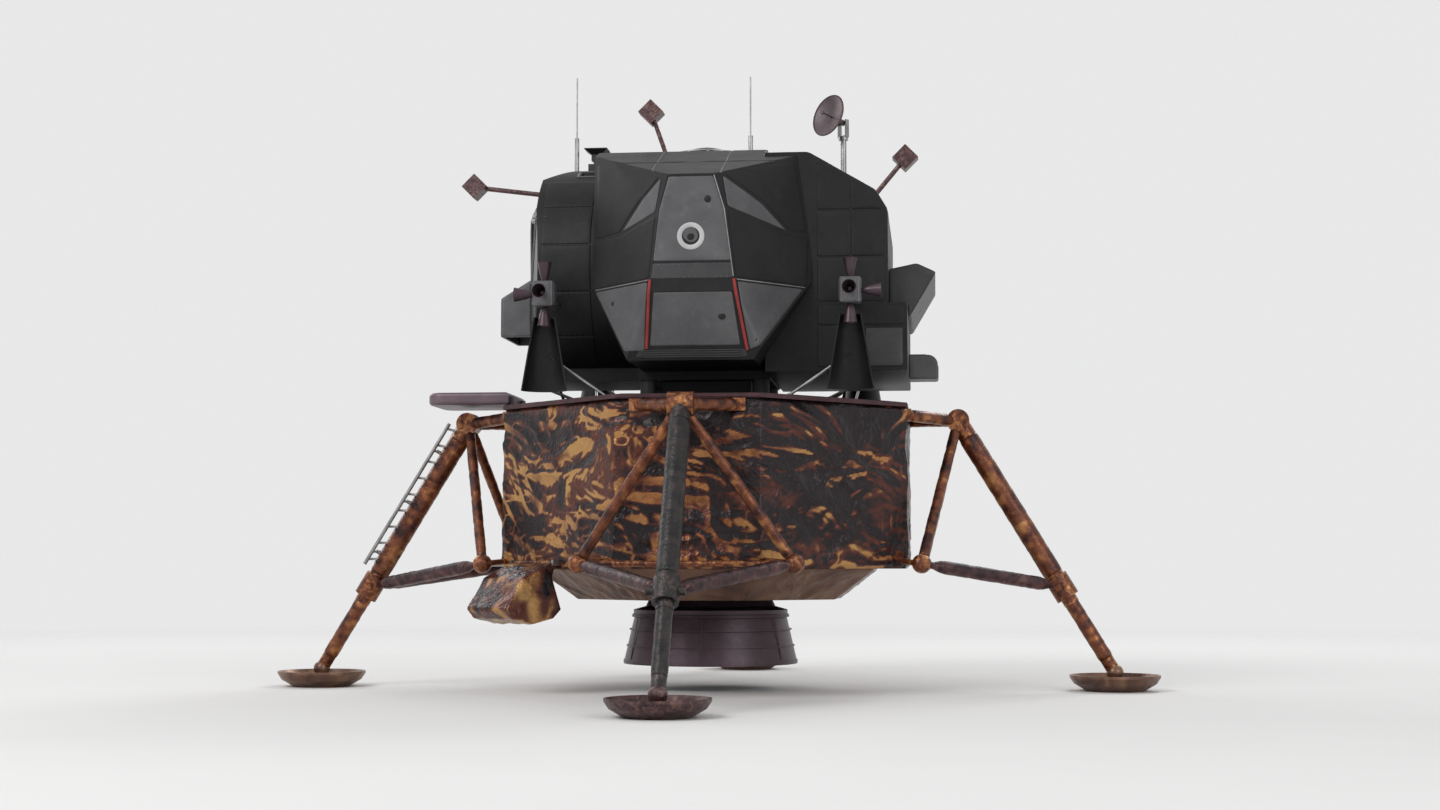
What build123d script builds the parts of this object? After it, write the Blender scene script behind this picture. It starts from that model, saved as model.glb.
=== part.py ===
from build123d import *
from math import atan2, cos, hypot, sin, sqrt
import os

# A two-stage crewed lander, in millimetres.
# Origin on the ground under the vehicle's upright axis, +Z up, forward -Y, port +X.
# Heights and reaches are built up from the ground and from the axis, so each one follows what carries it.

# Seats and clearances
seat = 0.3
running_gap = 8.0
quarter = 1 / sqrt(2)

# Descent stage body: an octagon with narrow faces behind the legs and wide quadrant faces between them
body_half = 2080.0
leg_face_half = 700.0
body_bottom = 1270.0
body_height = 1660.0
body_top = body_bottom + body_height
well_radius = 850.0
well_depth = 1130.0
well_top = body_bottom + well_depth
deck_thickness = 45.0
deck_overhang = 28.0
deck_top = body_top + seat + deck_thickness

# Heat shield under the body
shield_set_in = 320.0
shield_taper = 420.0
shield_drop = 320.0
shield_corner_share = 0.36
shield_hole_radius = 985.0
shield_wall = 30.0

# Landing gear, drawn for a leg that points along +X
apex_gap = 557.0
apex_drop = 100.0
apex_reach = body_half + apex_gap
apex_height = body_top - apex_drop
apex_pin_radius = 118.0
apex_pin_length = 250.0
pad_spread = 1605.0
pad_reach = apex_reach + pad_spread
pad_radius = 470.0
pad_height = 165.0
pad_sole_radius = 300.0
pad_rim = 22.0
foot_ball_radius = 88.0
foot_ball_rise = 25.0
foot_height = pad_height + foot_ball_rise
strut_radius = 98.0
gland_length = 90.0
gland_lip = 12.0
piston_radius = 70.0
knee_share = 0.664
knee_collar_radius = 124.0
knee_collar_length = 250.0
knee_pin_radius = 46.0
knee_pin_half = 178.0
piston_start_share = 0.70
truss_gap = 170.0
truss_flare = 350.0
truss_rise = 50.0
truss_reach = body_half + truss_gap
truss_half = leg_face_half + truss_flare
truss_height = body_bottom + truss_rise
truss_ball_radius = 98.0
root_depth = 150.0
fitting_half = 62.0
fitting_depth = 70.0
upper_beam_radius = 55.0
upper_beam_drop = 60.0
side_brace_radius = 46.0
lower_link_radius = 30.0
lower_link_rise = 90.0
crossbar_radius = 30.0
secondary_radius = 62.0
secondary_end_radius = 36.0
secondary_cone = 90.0

# Porch and ladder on the forward leg
porch_gap = 40.0
porch_length = 890.0
porch_inner = body_half + porch_gap
porch_outer = porch_inner + porch_length
porch_half = 440.0
porch_lift = 62.0
porch_bottom = apex_height + apex_pin_radius + porch_lift
porch_thickness = 135.0
porch_top = porch_bottom + porch_thickness
porch_corner = 160.0
porch_edge = 40.0
porch_groove_count = 7
porch_groove_width = 46.0
porch_groove_depth = 12.0
bracket_half = 30.0
bracket_length = 60.0
rail_radius = 20.0
ladder_half = 215.0
ladder_stand_off = 45.0
ladder_top_share = 0.03
ladder_end_share = 0.60
ladder_arm_shares = (0.14, 0.345, 0.55)
rung_count = 9
rung_radius = 14.0

# Descent engine
gimbal_rise = 630.0
gimbal_height = body_bottom + gimbal_rise
chamber_radius = 250.0
chamber_gap = 200.0
chamber_top = well_top - chamber_gap
chamber_length = 470.0
gimbal_ring_inner = 400.0
gimbal_ring_width = 45.0
gimbal_ring_height = 80.0
gimbal_pin_radius = 30.0
throat_radius = 120.0
bell_neck_radius = 690.0
skirt_top = 830.0
skirt_top_radius = 820.0
exit_height = 270.0
exit_radius = 925.0
bell_wall = 14.0
skirt_rib_height = 34.0
skirt_lip = 14.0

# Landing radar under the aft starboard quadrant
radar_plate_length = 520.0
radar_plate_width = 340.0
radar_plate_thickness = 60.0
radar_set_in = 20.0
radar_drop = 150.0
radar_pin_radius = 14.0
radar_pin_reach = 60.0
ear_thickness = 30.0
ear_half = 40.0

# Equipment tray that folds down from the forward port quadrant
tray_half = 360.0
tray_ball_gap = 30.0
tray_shift = (truss_reach - truss_half) * quarter - truss_ball_radius - tray_ball_gap - tray_half
tray_length = 610.0
tray_shoulder = 360.0
tray_outer_reach = 560.0
tray_inner_reach = 90.0
tray_hinge_rise = 60.0
tray_hinge_height = body_bottom + tray_hinge_rise
tray_hinge_out = 62.0
tray_hinge_radius = 22.0
tray_lug_half = 30.0

# Crew cabin: a drum lying fore and aft with a keel box below it, level with the foot of the drum
stage_gap = 256.7
keel_bottom = deck_top + stage_gap
cabin_radius = 1168.0
cabin_height = keel_bottom + cabin_radius
cabin_wall = 50.0
mid_half_length = 690.0
cabin_length = 1180.0
cabin_back = mid_half_length
cabin_front = cabin_back + cabin_length
brow_set_back = 150.0
brow_front = cabin_front - brow_set_back
brow_rise = 620.0
brow_height = cabin_height + brow_rise
roof_chamfer_rise = 980.0
roof_chamfer_height = cabin_height + roof_chamfer_rise
roof_chamfer_run = 320.0
keel_half = 560.0
face_half = 470.0
cheek_set_back = 180.0
cheek_inset = 58.0
cheek_half = cabin_radius - cheek_inset
hatch_half = 400.0
hatch_rise = 68.0
hatch_bottom = keel_bottom + hatch_rise
hatch_height = 680.0
hatch_top = hatch_bottom + hatch_height
hatch_thickness = 40.0
hatch_set_in = 6.0
hatch_corner = 60.0
hatch_hinge_radius = 16.0
knuckle_inset = 120.0
knuckle_height = 30.0
window_thickness = 14.0
window_set_in = 15.0
# Window corners on the cheek: share of the way out from the face edge, height
window_corners = [(0.02, cabin_height + 540.0), (0.78, cabin_height + 460.0), (0.16, cabin_height - 70.0)]
roof_window_near = 430.0
roof_window_width = 130.0
roof_window_set_back = 540.0
roof_window_front = cabin_front - roof_window_set_back
roof_window_length = 300.0

# Control console between the windows, on the front wall above the hatch
console_half = 380.0
console_depth = 220.0
console_top_depth = 110.0
console_lip = 180.0
console_clearance = 150.0
console_bottom = hatch_top + console_clearance
console_height = 740.0

# Nose hood over the forward hatch
hood_half = 450.0
hood_reach = 330.0
hood_front = cabin_front + hood_reach
hood_drop = 670.0
hood_bottom = cabin_height - hood_drop
hood_height = 410.0
hood_top = hood_bottom + hood_height
hood_rise = 200.0
hood_back_top = hood_top + hood_rise
hood_wall = 25.0

# Midsection with the ascent engine's pan below it, docking ring and overhead hatch
mid_keel_half = 700.0
roof_rise = 32.0
mid_roof = cabin_height + cabin_radius + roof_rise
mid_roof_half = 900.0
roof_fall = 85.0
pan_half = 480.0
pan_gap = 20.0
dock_centre = -40.0
dock_outer_radius = 400.0
dock_inner_radius = 362.0
dock_rise = 120.0
dock_top = mid_roof + dock_rise
dock_flange_radius = 430.0
dock_flange_rise = 40.0
dock_flange_height = mid_roof + dock_flange_rise
lid_crown_rise = 210.0
lid_crown = mid_roof + lid_crown_rise
lid_rim_rise = 90.0
lid_rim_height = mid_roof + lid_rim_rise
lid_wall = 35.0
tunnel_depth = 900.0
tunnel_room_radius = 450.0
tunnel_lip = 40.0
lid_hinge_radius = 12.0
lid_pin_half = 105.0
lid_arm_at = 90.0

# Propellant tank bays on both sides
port_depth = 932.0
starboard_depth = 632.0
port_reach = cabin_radius + port_depth
starboard_reach = cabin_radius + starboard_depth
bay_break_drop = 420.0
bay_break_height = cabin_height - bay_break_drop
bay_waist_drop = 250.0
bay_waist_height = cabin_height - bay_waist_drop
bay_rise = 88.0
bay_bottom = keel_bottom + bay_rise
bay_tuck_drop = 12.0
bay_tuck_height = keel_bottom - bay_tuck_drop
bay_crest_rise = 750.0
bay_crest_height = cabin_height + bay_crest_rise
bay_edge_hip_rise = 380.0
bay_edge_hip_height = cabin_height + bay_edge_hip_rise
bay_hip_rise = 300.0
bay_hip_height = cabin_height + bay_hip_rise
bay_tuck = 200.0
bay_crest_set_back = 50.0
bay_hip_sweep = 540.0
bay_side_sweep = 800.0
# Bay ends along Y: foot and head of the centre panel's edge, hull corner, hip tip, tucked foot
bay_ends = [(-460.0, -250.0, -1080.0, -860.0, -570.0), (560.0, 310.0, 1160.0, 940.0, 570.0)]

# Aft equipment bay, its hood and its junction box
aft_overhang = 82.0
aft_half = cabin_radius + aft_overhang
aft_rise = 28.0
aft_bottom = keel_bottom + aft_rise
aft_length = 1430.0
aft_lower_rear = mid_half_length + aft_length
aft_shelf_drop = 450.0
aft_lower_top = cabin_height - aft_shelf_drop
aft_shelf_depth = 190.0
aft_upper_rear = aft_lower_rear - aft_shelf_depth
aft_roof_rise = 1100.0
aft_roof = cabin_height + aft_roof_rise
aft_shoulder_drop = 600.0
aft_shoulder_height = aft_roof - aft_shoulder_drop
aft_brow_drop = 400.0
aft_brow_height = aft_roof - aft_brow_drop
aft_brow_depth = 120.0
aft_brow_rear = aft_upper_rear - aft_brow_depth
aft_crest_depth = 800.0
aft_crest_rear = aft_upper_rear - aft_crest_depth
aft_hood_margin = 350.0
aft_hood_half = aft_half - aft_hood_margin
aft_hood_length = 290.0
aft_hood_reach = aft_lower_rear + aft_hood_length
aft_hood_drop = 90.0
aft_hood_lip = 30.0
aft_hood_nose_rise = 350.0
aft_hood_brow_length = 100.0
aft_hood_brow_rise = 440.0
aft_hood_back_rise = 380.0
box_half = 200.0
box_length = 310.0
box_reach = aft_lower_rear + box_length
box_rise = 38.0
box_bottom = keel_bottom + box_rise
box_height = 250.0
box_top = box_bottom + box_height
box_corner = 110.0

# Posts between the stages
post_radius = 90.0
post_gap = 20.0
post_offset = pan_half + post_gap + post_radius

# Thruster clusters
quad_arm_length = 512.0
quad_side = cabin_radius + quad_arm_length
quad_set_back = 370.0
quad_forward = cabin_front - quad_set_back
quad_aft_length = 880.0
quad_aft = mid_half_length + quad_aft_length
quad_drop = 380.0
quad_height = cabin_height - quad_drop
quad_core = 210.0
quad_tall_share = 1.15
nozzle_exit_radius = 73.0
nozzle_throat_radius = 24.0
nozzle_length = 200.0
nozzle_wall = 6.0
nozzle_waist = 26.0
quad_arm_radius = 50.0
quad_arm_drop = 40.0

# Plume deflectors below the clusters
deflector_drop = 230.0
deflector_top = quad_height - deflector_drop
deflector_rise = 75.0
deflector_bottom = deck_top + deflector_rise
deflector_top_radius = 110.0
deflector_bottom_radius = 235.0
deflector_wall = 14.0
deflector_strut_radius = 14.0
# Deflector struts: foot inboard of the cluster, foot towards the middle, start at half height
deflector_feet = [(500.0, 260.0, False), (120.0, 640.0, True), (620.0, 100.0, True)]

# Steerable dish
dish_set_in = 410.0
dish_side = dish_set_in - aft_half
dish_set_aft = 710.0
dish_forward = mid_half_length + dish_set_aft
dish_rise = 640.0
dish_height = mid_roof + dish_rise
dish_turn = -134.0
dish_tilt = 13.0
dish_radius = 235.0
dish_depth = 70.0
dish_wall = 10.0
dish_offset = 165.0
dish_hub_radius = 34.0
feed_radius = 9.0
feed_reach_share = 0.7
mast_radius = 34.0
mast_root = 740.0
yoke_width = 130.0
yoke_drop = 200.0
yoke_arm = 12.0
yoke_half = 26.0

# Other antennas
whip_radius = 9.0
whip_base_radius = 26.0
# Whips: x, y, foot height, step height, tip height
whip_table = [(0, 400.0 - cabin_front, cabin_height + 1160.0, cabin_height + 1550.0, cabin_height + 2220.0),
              (200.0, mid_half_length - 240.0, mid_roof, mid_roof + 300.0, mid_roof + 940.0)]
boom_radius = 26.0
boom_box = 195.0
# Booms: foot point, box point
boom_table = [
    ((0, 370.0 - cabin_front, cabin_height + 890.0), (0, -cabin_front - 720.0, cabin_height + 1030.0)),
    ((-300.0, 260.0 - mid_half_length, mid_roof - 60.0), (-300.0, -mid_half_length, mid_roof + 680.0)),
    ((0, mid_half_length + 960.0, aft_roof - 380.0), (0, mid_half_length + 1410.0, aft_roof + 160.0))]

# Rendezvous radar block on the forward roof
block_set_back = 625.0
block_forward = block_set_back - cabin_front
pedestal_width = 170.0
pedestal_root = 160.0
pedestal_rise = 82.0
pedestal_top = cabin_height + cabin_radius + pedestal_rise
head_pivot_rise = 70.0
head_pivot_height = pedestal_top + head_pivot_rise
head_half = 55.0
head_rim_half = 125.0
head_rise = 100.0
head_top = head_pivot_height + head_rise
head_rim = 8.0
head_ear = 12.0
head_pin_radius = 14.0

parts = {}


def rod(start, end, radius):
    path = Vector(*end) - Vector(*start)
    return Solid.make_cylinder(radius, path.length, Plane(origin=start, z_dir=path))


def ball(centre, radius):
    return Pos(*centre) * Sphere(radius)


def block(low, high):
    size = [b - a for a, b in zip(low, high)]
    return Pos(*low) * Box(*size, align=(Align.MIN, Align.MIN, Align.MIN))


def turned(profile):
    return revolve(make_face(Polyline(*[(r, 0, z) for r, z in profile], close=True)), Axis.Z)


def prism(outline, bottom, top):
    face = make_face(Polyline(*[(x, y, bottom) for x, y in outline], close=True))
    return extrude(face, top - bottom, dir=(0, 0, 1))


def side_prism(outline, half):
    face = make_face(Polyline(*[(-half, y, z) for y, z in outline], close=True))
    return extrude(face, 2 * half, dir=(1, 0, 0))


def aimed(shape, origin, direction):
    return Plane(origin=origin, z_dir=direction).location * shape


def kept_below(shape, point, normal):
    return split(shape, Plane(origin=point, z_dir=normal), keep=Keep.BOTTOM)


def kept_inside(shape, first, second, third, inside):
    """Keep the side of the plane through three points on which the inside point lies."""
    a, b, c = Vector(*first), Vector(*second), Vector(*third)
    normal = (b - a).cross(c - a).normalized()
    if (Vector(*inside) - a).dot(normal) > 0:
        normal = normal * -1
    return kept_below(shape, a, normal)


def along(start, end, share):
    return tuple(a + (b - a) * share for a, b in zip(start, end))


def largest(shape):
    return max(shape.solids(), key=lambda solid: solid.volume)


def above(shape, height):
    return kept_below(shape, (0, 0, height), (0, 0, -1))


def solids_of(*shapes):
    found = []
    for shape in shapes:
        found.extend(shape.solids())
    return Compound(children=found)


def octagon(half, face_half):
    corners = [(half, -face_half), (half, face_half), (face_half, half), (-face_half, half)]
    return corners + [(-x, -y) for x, y in corners]


# Descent stage body with the engine well open below
body_envelope = prism(octagon(body_half + seat, leg_face_half + seat), body_bottom - seat, body_top)
body = prism(octagon(body_half, leg_face_half), body_bottom, body_top)
engine_well = Pos(0, 0, body_bottom) * Cylinder(
    well_radius, well_top - body_bottom, align=(Align.CENTER, Align.CENTER, Align.MIN))
parts["descent_body"] = body - engine_well

deck = prism(octagon(body_half + deck_overhang, leg_face_half + deck_overhang), body_top + seat, deck_top)
parts["descent_deck"] = deck

# Heat shield: an octagonal dish with a hole for the nozzle
shield_bottom = body_bottom - shield_drop


def shield_form(inset):
    top_half = body_half - shield_set_in - inset
    bottom_half = top_half - shield_taper
    top = make_face(Polyline(*[(x, y, body_bottom - seat) for x, y in
                               octagon(top_half, top_half * shield_corner_share)], close=True))
    bottom = make_face(Polyline(*[(x, y, shield_bottom + inset) for x, y in
                                  octagon(bottom_half, bottom_half * shield_corner_share)], close=True))
    return loft([bottom, top])


shield_hole = Pos(0, 0, shield_bottom) * Cylinder(shield_hole_radius, 2 * shield_drop)
parts["base_shield"] = shield_form(0) - shield_form(shield_wall) - shield_hole

# Landing gear, one leg along +X and then turned to its place
apex = (apex_reach, 0, apex_height)
foot = (pad_reach, 0, foot_height)
knee = along(apex, foot, knee_share)
piston_start = along(apex, foot, piston_start_share)
leg_length = hypot(pad_reach - apex_reach, apex_height - foot_height)
apex_pin = rod((apex_reach, -apex_pin_length / 2, apex_height),
               (apex_reach, apex_pin_length / 2, apex_height), apex_pin_radius)
apex_room = rod((apex_reach, -apex_pin_length / 2 - seat, apex_height),
                (apex_reach, apex_pin_length / 2 + seat, apex_height), apex_pin_radius + seat)
foot_room = ball(foot, foot_ball_radius + seat)
collar_share = knee_collar_length / 2 / leg_length
collar_ends = [along(apex, foot, knee_share - collar_share), along(apex, foot, knee_share + collar_share)]
knee_room = rod(*collar_ends, knee_collar_radius + seat)

knee_pin = rod((knee[0], -knee_pin_half, knee[2]), (knee[0], knee_pin_half, knee[2]), knee_pin_radius)
knee_room += rod((knee[0], -knee_pin_half - seat, knee[2]), (knee[0], knee_pin_half + seat, knee[2]),
                 knee_pin_radius + seat)
gland_end = along(apex, foot, piston_start_share + gland_length / leg_length)

# Primary strut: outer tube, gland, piston, and the knee collar with its cross pin
primary = rod(apex, piston_start, strut_radius)
primary += rod(piston_start, gland_end, piston_radius + gland_lip)
primary += rod(piston_start, foot, piston_radius)
primary += rod(*collar_ends, knee_collar_radius)
primary += knee_pin
primary = primary - apex_room - foot_room

# Pad profile: sole, flared wall, rolled rim, and the dish inside; radius, height
pad_floor = pad_height * 0.30
pad_profile = [
    (0, 0), (pad_sole_radius, 0), (pad_radius - 2 * pad_rim, pad_height * 0.45),
    (pad_radius, pad_height * 0.85), (pad_radius, pad_height), (pad_radius - pad_rim, pad_height),
    (pad_radius - 3 * pad_rim, pad_height * 0.62), (pad_sole_radius, pad_floor), (0, pad_floor)]
pad = Pos(pad_reach, 0, 0) * turned(pad_profile)
pad += rod((pad_reach, 0, pad_height * 0.25), foot, foot_ball_radius * 0.8)
pad += ball(foot, foot_ball_radius)

outrigger = [apex_pin]
secondary = []
for side in (-1, 1):
    truss_end = (truss_reach, side * truss_half, truss_height)
    end_room = ball(truss_end, truss_ball_radius + seat)
    root = body_half - root_depth
    body_corner = (root, side * (leg_face_half - upper_beam_radius), body_top - upper_beam_drop)
    low_corner = (root, side * (leg_face_half - fitting_half), body_bottom + lower_link_rise)
    _, foot_y, foot_z = along(body_corner, apex, root_depth / (root_depth + apex_gap))
    fitting = block((body_half + seat, foot_y - fitting_half, foot_z - fitting_half),
                    (body_half + seat + fitting_depth, foot_y + fitting_half, foot_z + fitting_half))
    outrigger.append(ball(truss_end, truss_ball_radius))
    outrigger.append(largest(fitting + rod(body_corner, apex, upper_beam_radius) - apex_room - body_envelope))
    outrigger.append(largest(rod(apex, truss_end, side_brace_radius) - apex_room - end_room))
    outrigger.append(largest(rod(low_corner, truss_end, lower_link_radius) - end_room - body_envelope))
    strut = rod(along(truss_end, knee, 0.13), along(truss_end, knee, 0.86), secondary_radius)
    strut += rod(truss_end, knee, secondary_end_radius)
    for share, way in ((0.13, -1), (0.86, 1)):
        collar_centre = along(truss_end, knee, share)
        cone_axis = (Vector(*knee) - Vector(*truss_end)) * way
        cone = Cone(secondary_radius, secondary_end_radius, secondary_cone,
                    align=(Align.CENTER, Align.CENTER, Align.MIN))
        strut += aimed(cone, collar_centre, cone_axis)
    secondary.append(largest(strut - end_room - knee_room))
crossbar = rod((truss_reach, -truss_half, truss_height), (truss_reach, truss_half, truss_height),
               crossbar_radius)
for side in (-1, 1):
    crossbar -= ball((truss_reach, side * truss_half, truss_height), truss_ball_radius + seat)
outrigger.append(largest(crossbar))

# Leg name, turn about the upright axis in degrees
legs = [("port", 0), ("aft", 90), ("starboard", 180), ("forward", 270)]
for name, turn in legs:
    place = Rot(0, 0, turn)
    parts[f"{name}_primary_strut"] = place * primary
    parts[f"{name}_outrigger"] = place * solids_of(*outrigger)
    parts[f"{name}_secondary_struts"] = place * solids_of(*secondary)
    parts[f"{name}_footpad"] = place * pad

# Porch: a thick plate with rounded outer corners and a grooved top, on two brackets
porch = block((-porch_half, -porch_outer, porch_bottom), (porch_half, -porch_inner, porch_top))
porch = fillet(porch.edges().filter_by(Axis.Z).sort_by(Axis.Y)[:2], porch_corner)
porch = fillet(porch.edges().filter_by(Plane.XY).group_by(Axis.Z)[-1], porch_edge)
porch = fillet(porch.edges().filter_by(Plane.XY).group_by(Axis.Z)[0], porch_edge)
groove_pitch = 2 * (porch_half - porch_corner) / (porch_groove_count - 1)
for index in range(porch_groove_count):
    groove_x = porch_corner - porch_half + groove_pitch * index
    groove_low = groove_x - porch_groove_width / 2
    groove_high = groove_x + porch_groove_width / 2
    porch -= block((groove_low, porch_corner - porch_outer, porch_top - porch_groove_depth),
                   (groove_high, -porch_inner - 2 * porch_edge, porch_top + porch_groove_depth))
for side in (-1, 1):
    bracket_x = side * (porch_half - porch_corner)
    porch += block((bracket_x - bracket_half, -porch_inner - bracket_length, deck_top + seat),
                   (bracket_x + bracket_half, -body_half, porch_top - porch_edge))
parts["porch"] = porch

# Ladder: two rails in front of the forward strut, its rungs and three stand-offs
strut_slope = Vector(foot[0] - apex[0], 0, foot[2] - apex[2]).normalized()
outward = Vector(-strut_slope.Z, 0, strut_slope.X) * -1
if outward.X < 0:
    outward = outward * -1


def ladder_point(share, lateral, lift):
    base = Vector(*along(apex, foot, share)) + outward * lift
    return (base.X, lateral, base.Z)


rail_lift = strut_radius + ladder_stand_off
ladder = rod(ladder_point(ladder_top_share, ladder_half, rail_lift),
             ladder_point(ladder_end_share, ladder_half, rail_lift), rail_radius)
ladder += rod(ladder_point(ladder_top_share, -ladder_half, rail_lift),
              ladder_point(ladder_end_share, -ladder_half, rail_lift), rail_radius)
for index in range(rung_count):
    share = ladder_top_share + 0.02 + (ladder_end_share - ladder_top_share - 0.04) * index / (rung_count - 1)
    ladder += rod(ladder_point(share, -ladder_half, rail_lift), ladder_point(share, ladder_half, rail_lift),
                  rung_radius)
for share in ladder_arm_shares:
    ladder += rod(ladder_point(share, 0, strut_radius + seat),
                  ladder_point(share, 0, rail_lift + rung_radius), rail_radius)
    ladder += rod(ladder_point(share, -ladder_half, rail_lift), ladder_point(share, ladder_half, rail_lift),
                  rung_radius)
parts["ladder"] = Rot(0, 0, 270) * ladder

# Descent engine on a two-axis gimbal: trunnions along X to the body, along Y to the ring
ring_outer = gimbal_ring_inner + gimbal_ring_width
ring = Pos(0, 0, gimbal_height) * (Cylinder(ring_outer, gimbal_ring_height)
                                   - Cylinder(gimbal_ring_inner, gimbal_ring_height + 2))
for side in (-1, 1):
    ring += rod((side * (ring_outer - 20), 0, gimbal_height), (side * well_radius, 0, gimbal_height),
                gimbal_pin_radius)
parts["gimbal_ring"] = ring & Pos(0, 0, gimbal_height) * Cylinder(well_radius - seat, 2 * gimbal_ring_height)

chamber = Pos(0, 0, chamber_top - chamber_length / 2) * Cylinder(chamber_radius, chamber_length)
for side in (-1, 1):
    chamber += rod((0, side * (chamber_radius - 20), gimbal_height),
                   (0, side * gimbal_ring_inner, gimbal_height), gimbal_pin_radius)
parts["engine_chamber"] = chamber & Pos(0, 0, gimbal_height) * Cylinder(
    gimbal_ring_inner - seat, 2 * chamber_length)

neck_top = chamber_top - chamber_length - seat
# Bell between throat and skirt: share of the way out, share of the way down
bell_stations = [(0.316, 0.197), (0.596, 0.465), (0.825, 0.756)]
bell_drop = neck_top - skirt_top - 3 * bell_wall
bell_line = [(throat_radius, neck_top)]
for out_share, down_share in bell_stations:
    bell_line.append((throat_radius + (bell_neck_radius - throat_radius) * out_share,
                      neck_top - bell_drop * down_share))
bell_line.append((bell_neck_radius, neck_top - bell_drop))
skirt_outer = [(skirt_top_radius, skirt_top + bell_wall / 2),
               (skirt_top_radius, skirt_top - skirt_rib_height),
               (skirt_top_radius - skirt_lip, skirt_top - skirt_rib_height - skirt_lip),
               (exit_radius, exit_height)]
bell_inner = [(exit_radius - bell_wall, exit_height),
              (skirt_top_radius - 2 * bell_wall, skirt_top - 2 * bell_wall),
              (bell_neck_radius - bell_wall, skirt_top - bell_wall)]
bell_inner += [(radius - bell_wall, height - bell_wall) for radius, height in reversed(bell_line[1:-1])]
throat_floor = neck_top - 4 * bell_wall
bell_inner += [(throat_radius - 2 * bell_wall, throat_floor), (0, throat_floor), (0, neck_top)]
parts["engine_nozzle"] = turned(bell_line + skirt_outer + bell_inner)

# Landing radar: a plate on a pivot, hung from the body in the aft starboard quadrant
quad_face_out = (body_half + leg_face_half) * quarter
radar_out = quad_face_out - radar_plate_width / 2 - radar_set_in
radar_height = body_bottom - radar_drop
radar_face = Rot(0, 0, 135) * Pos(radar_out, 0, radar_height)
radar_plate = Box(radar_plate_width, radar_plate_length, radar_plate_thickness)
radar_plate = fillet(radar_plate.edges().filter_by(Axis.Z), ear_half)
radar_pin_half = radar_plate_length / 2 + radar_pin_reach
radar_plate += rod((0, -radar_pin_half, 0), (0, radar_pin_half, 0), radar_pin_radius)
parts["landing_radar"] = radar_face * radar_plate
radar_ears = []
for side in (-1, 1):
    ear_start = radar_pin_half + seat
    ear_near, ear_far = sorted((side * ear_start, side * (ear_start + ear_thickness)))
    ear = block((-ear_half, ear_near, -ear_half), (ear_half, ear_far, body_bottom - radar_height - seat))
    radar_ears.append(radar_face * ear)

# Equipment tray, drawn in the frame of its quadrant face: x out of the face, y along it, z up
tray_frame = Rot(0, 0, -45) * Pos(quad_face_out, 0, 0)
# Tray section: hinge barrel, shoulder, flared outer lip, belly, inner lip and neck; out of the face, height
tray_outline = [(-tray_hinge_radius, 0), (tray_hinge_radius, 0), (tray_shoulder, -0.26 * tray_length),
                (tray_outer_reach, -0.76 * tray_length), (0.86 * tray_outer_reach, -0.90 * tray_length),
                (0.42 * tray_outer_reach, -tray_length), (0, -0.91 * tray_length),
                (-tray_inner_reach, -0.77 * tray_length), (tray_hinge_radius, -0.24 * tray_length)]
tray_face = make_face(Polyline(*[(x, -tray_half, z) for x, z in tray_outline], close=True))
tray = extrude(tray_face, 2 * tray_half, dir=(0, 1, 0))
tray += rod((0, -tray_half, 0), (0, tray_half, 0), tray_hinge_radius)
parts["equipment_tray"] = tray_frame * Pos(tray_hinge_out, -tray_shift, tray_hinge_height) * tray
tray_lugs = []
for side in (-1, 1):
    lug_near, lug_far = sorted((side * (tray_half + seat), side * (tray_half + seat + ear_thickness)))
    lug = block((seat, lug_near, tray_hinge_height - tray_lug_half),
                (tray_hinge_out + tray_lug_half, lug_far, tray_hinge_height + tray_lug_half))
    tray_lugs.append(tray_frame * Pos(0, -tray_shift, 0) * lug)
parts["hinge_brackets"] = solids_of(*radar_ears, *tray_lugs)

# Cabin: drum and keel box, cut by the face planes, hollow and open at the back


def cabin_form(inset):
    length = cabin_front - cabin_back - inset
    drum = Rot(90, 0, 0) * Cylinder(cabin_radius - inset, length)
    drum = Pos(0, -cabin_back - length / 2, cabin_height) * drum
    form = drum + block((-keel_half + inset, -cabin_front + inset, keel_bottom + inset),
                        (keel_half - inset, -cabin_back, cabin_height))
    for side in (-1, 1):
        cheek_turn = atan2(cheek_set_back, cheek_half - face_half)
        normal = (side * sin(cheek_turn), -cos(cheek_turn), 0)
        point = (side * face_half - normal[0] * inset, -cabin_front - normal[1] * inset, 0)
        form = kept_below(form, point, normal)
    form -= block((-cabin_radius, -cabin_front, brow_height - inset),
                  (cabin_radius, -brow_front + inset, mid_roof))
    slope = Vector(0, -(cabin_height + cabin_radius - roof_chamfer_height), roof_chamfer_run).normalized()
    point = Vector(0, -brow_front, roof_chamfer_height) - slope * inset
    return kept_below(form, point, slope)


cabin = cabin_form(0) - cabin_form(cabin_wall)
cabin_envelope = cabin_form(-seat)
doorway = block((-hatch_half, -hood_front, hatch_bottom),
                (hatch_half, 2 * cabin_wall - cabin_front, hatch_top))
doorway = fillet(doorway.edges().filter_by(Axis.Y), hatch_corner)
cabin -= doorway

cheek_out = Vector(cheek_half - face_half, cheek_set_back, 0)


def cheek_pane(side, depth, near, grow):
    """A triangular prism across the cheek wall, with its depth, its start and its growth."""
    middle_share = sum(share for share, _ in window_corners) / 3
    middle_height = sum(height for _, height in window_corners) / 3
    points = []
    for share, height in window_corners:
        share = middle_share + (share - middle_share) * (1 + grow)
        height = middle_height + (height - middle_height) * (1 + grow)
        points.append((side * (face_half + cheek_out.X * share), -cabin_front + cheek_out.Y * share, height))
    inward = Vector(side * -cheek_out.Y, cheek_out.X, 0).normalized()
    points = [tuple(Vector(*p) + inward * near) for p in points]
    face = make_face(Polyline(*points, close=True))
    return extrude(face, depth, dir=inward)


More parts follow.
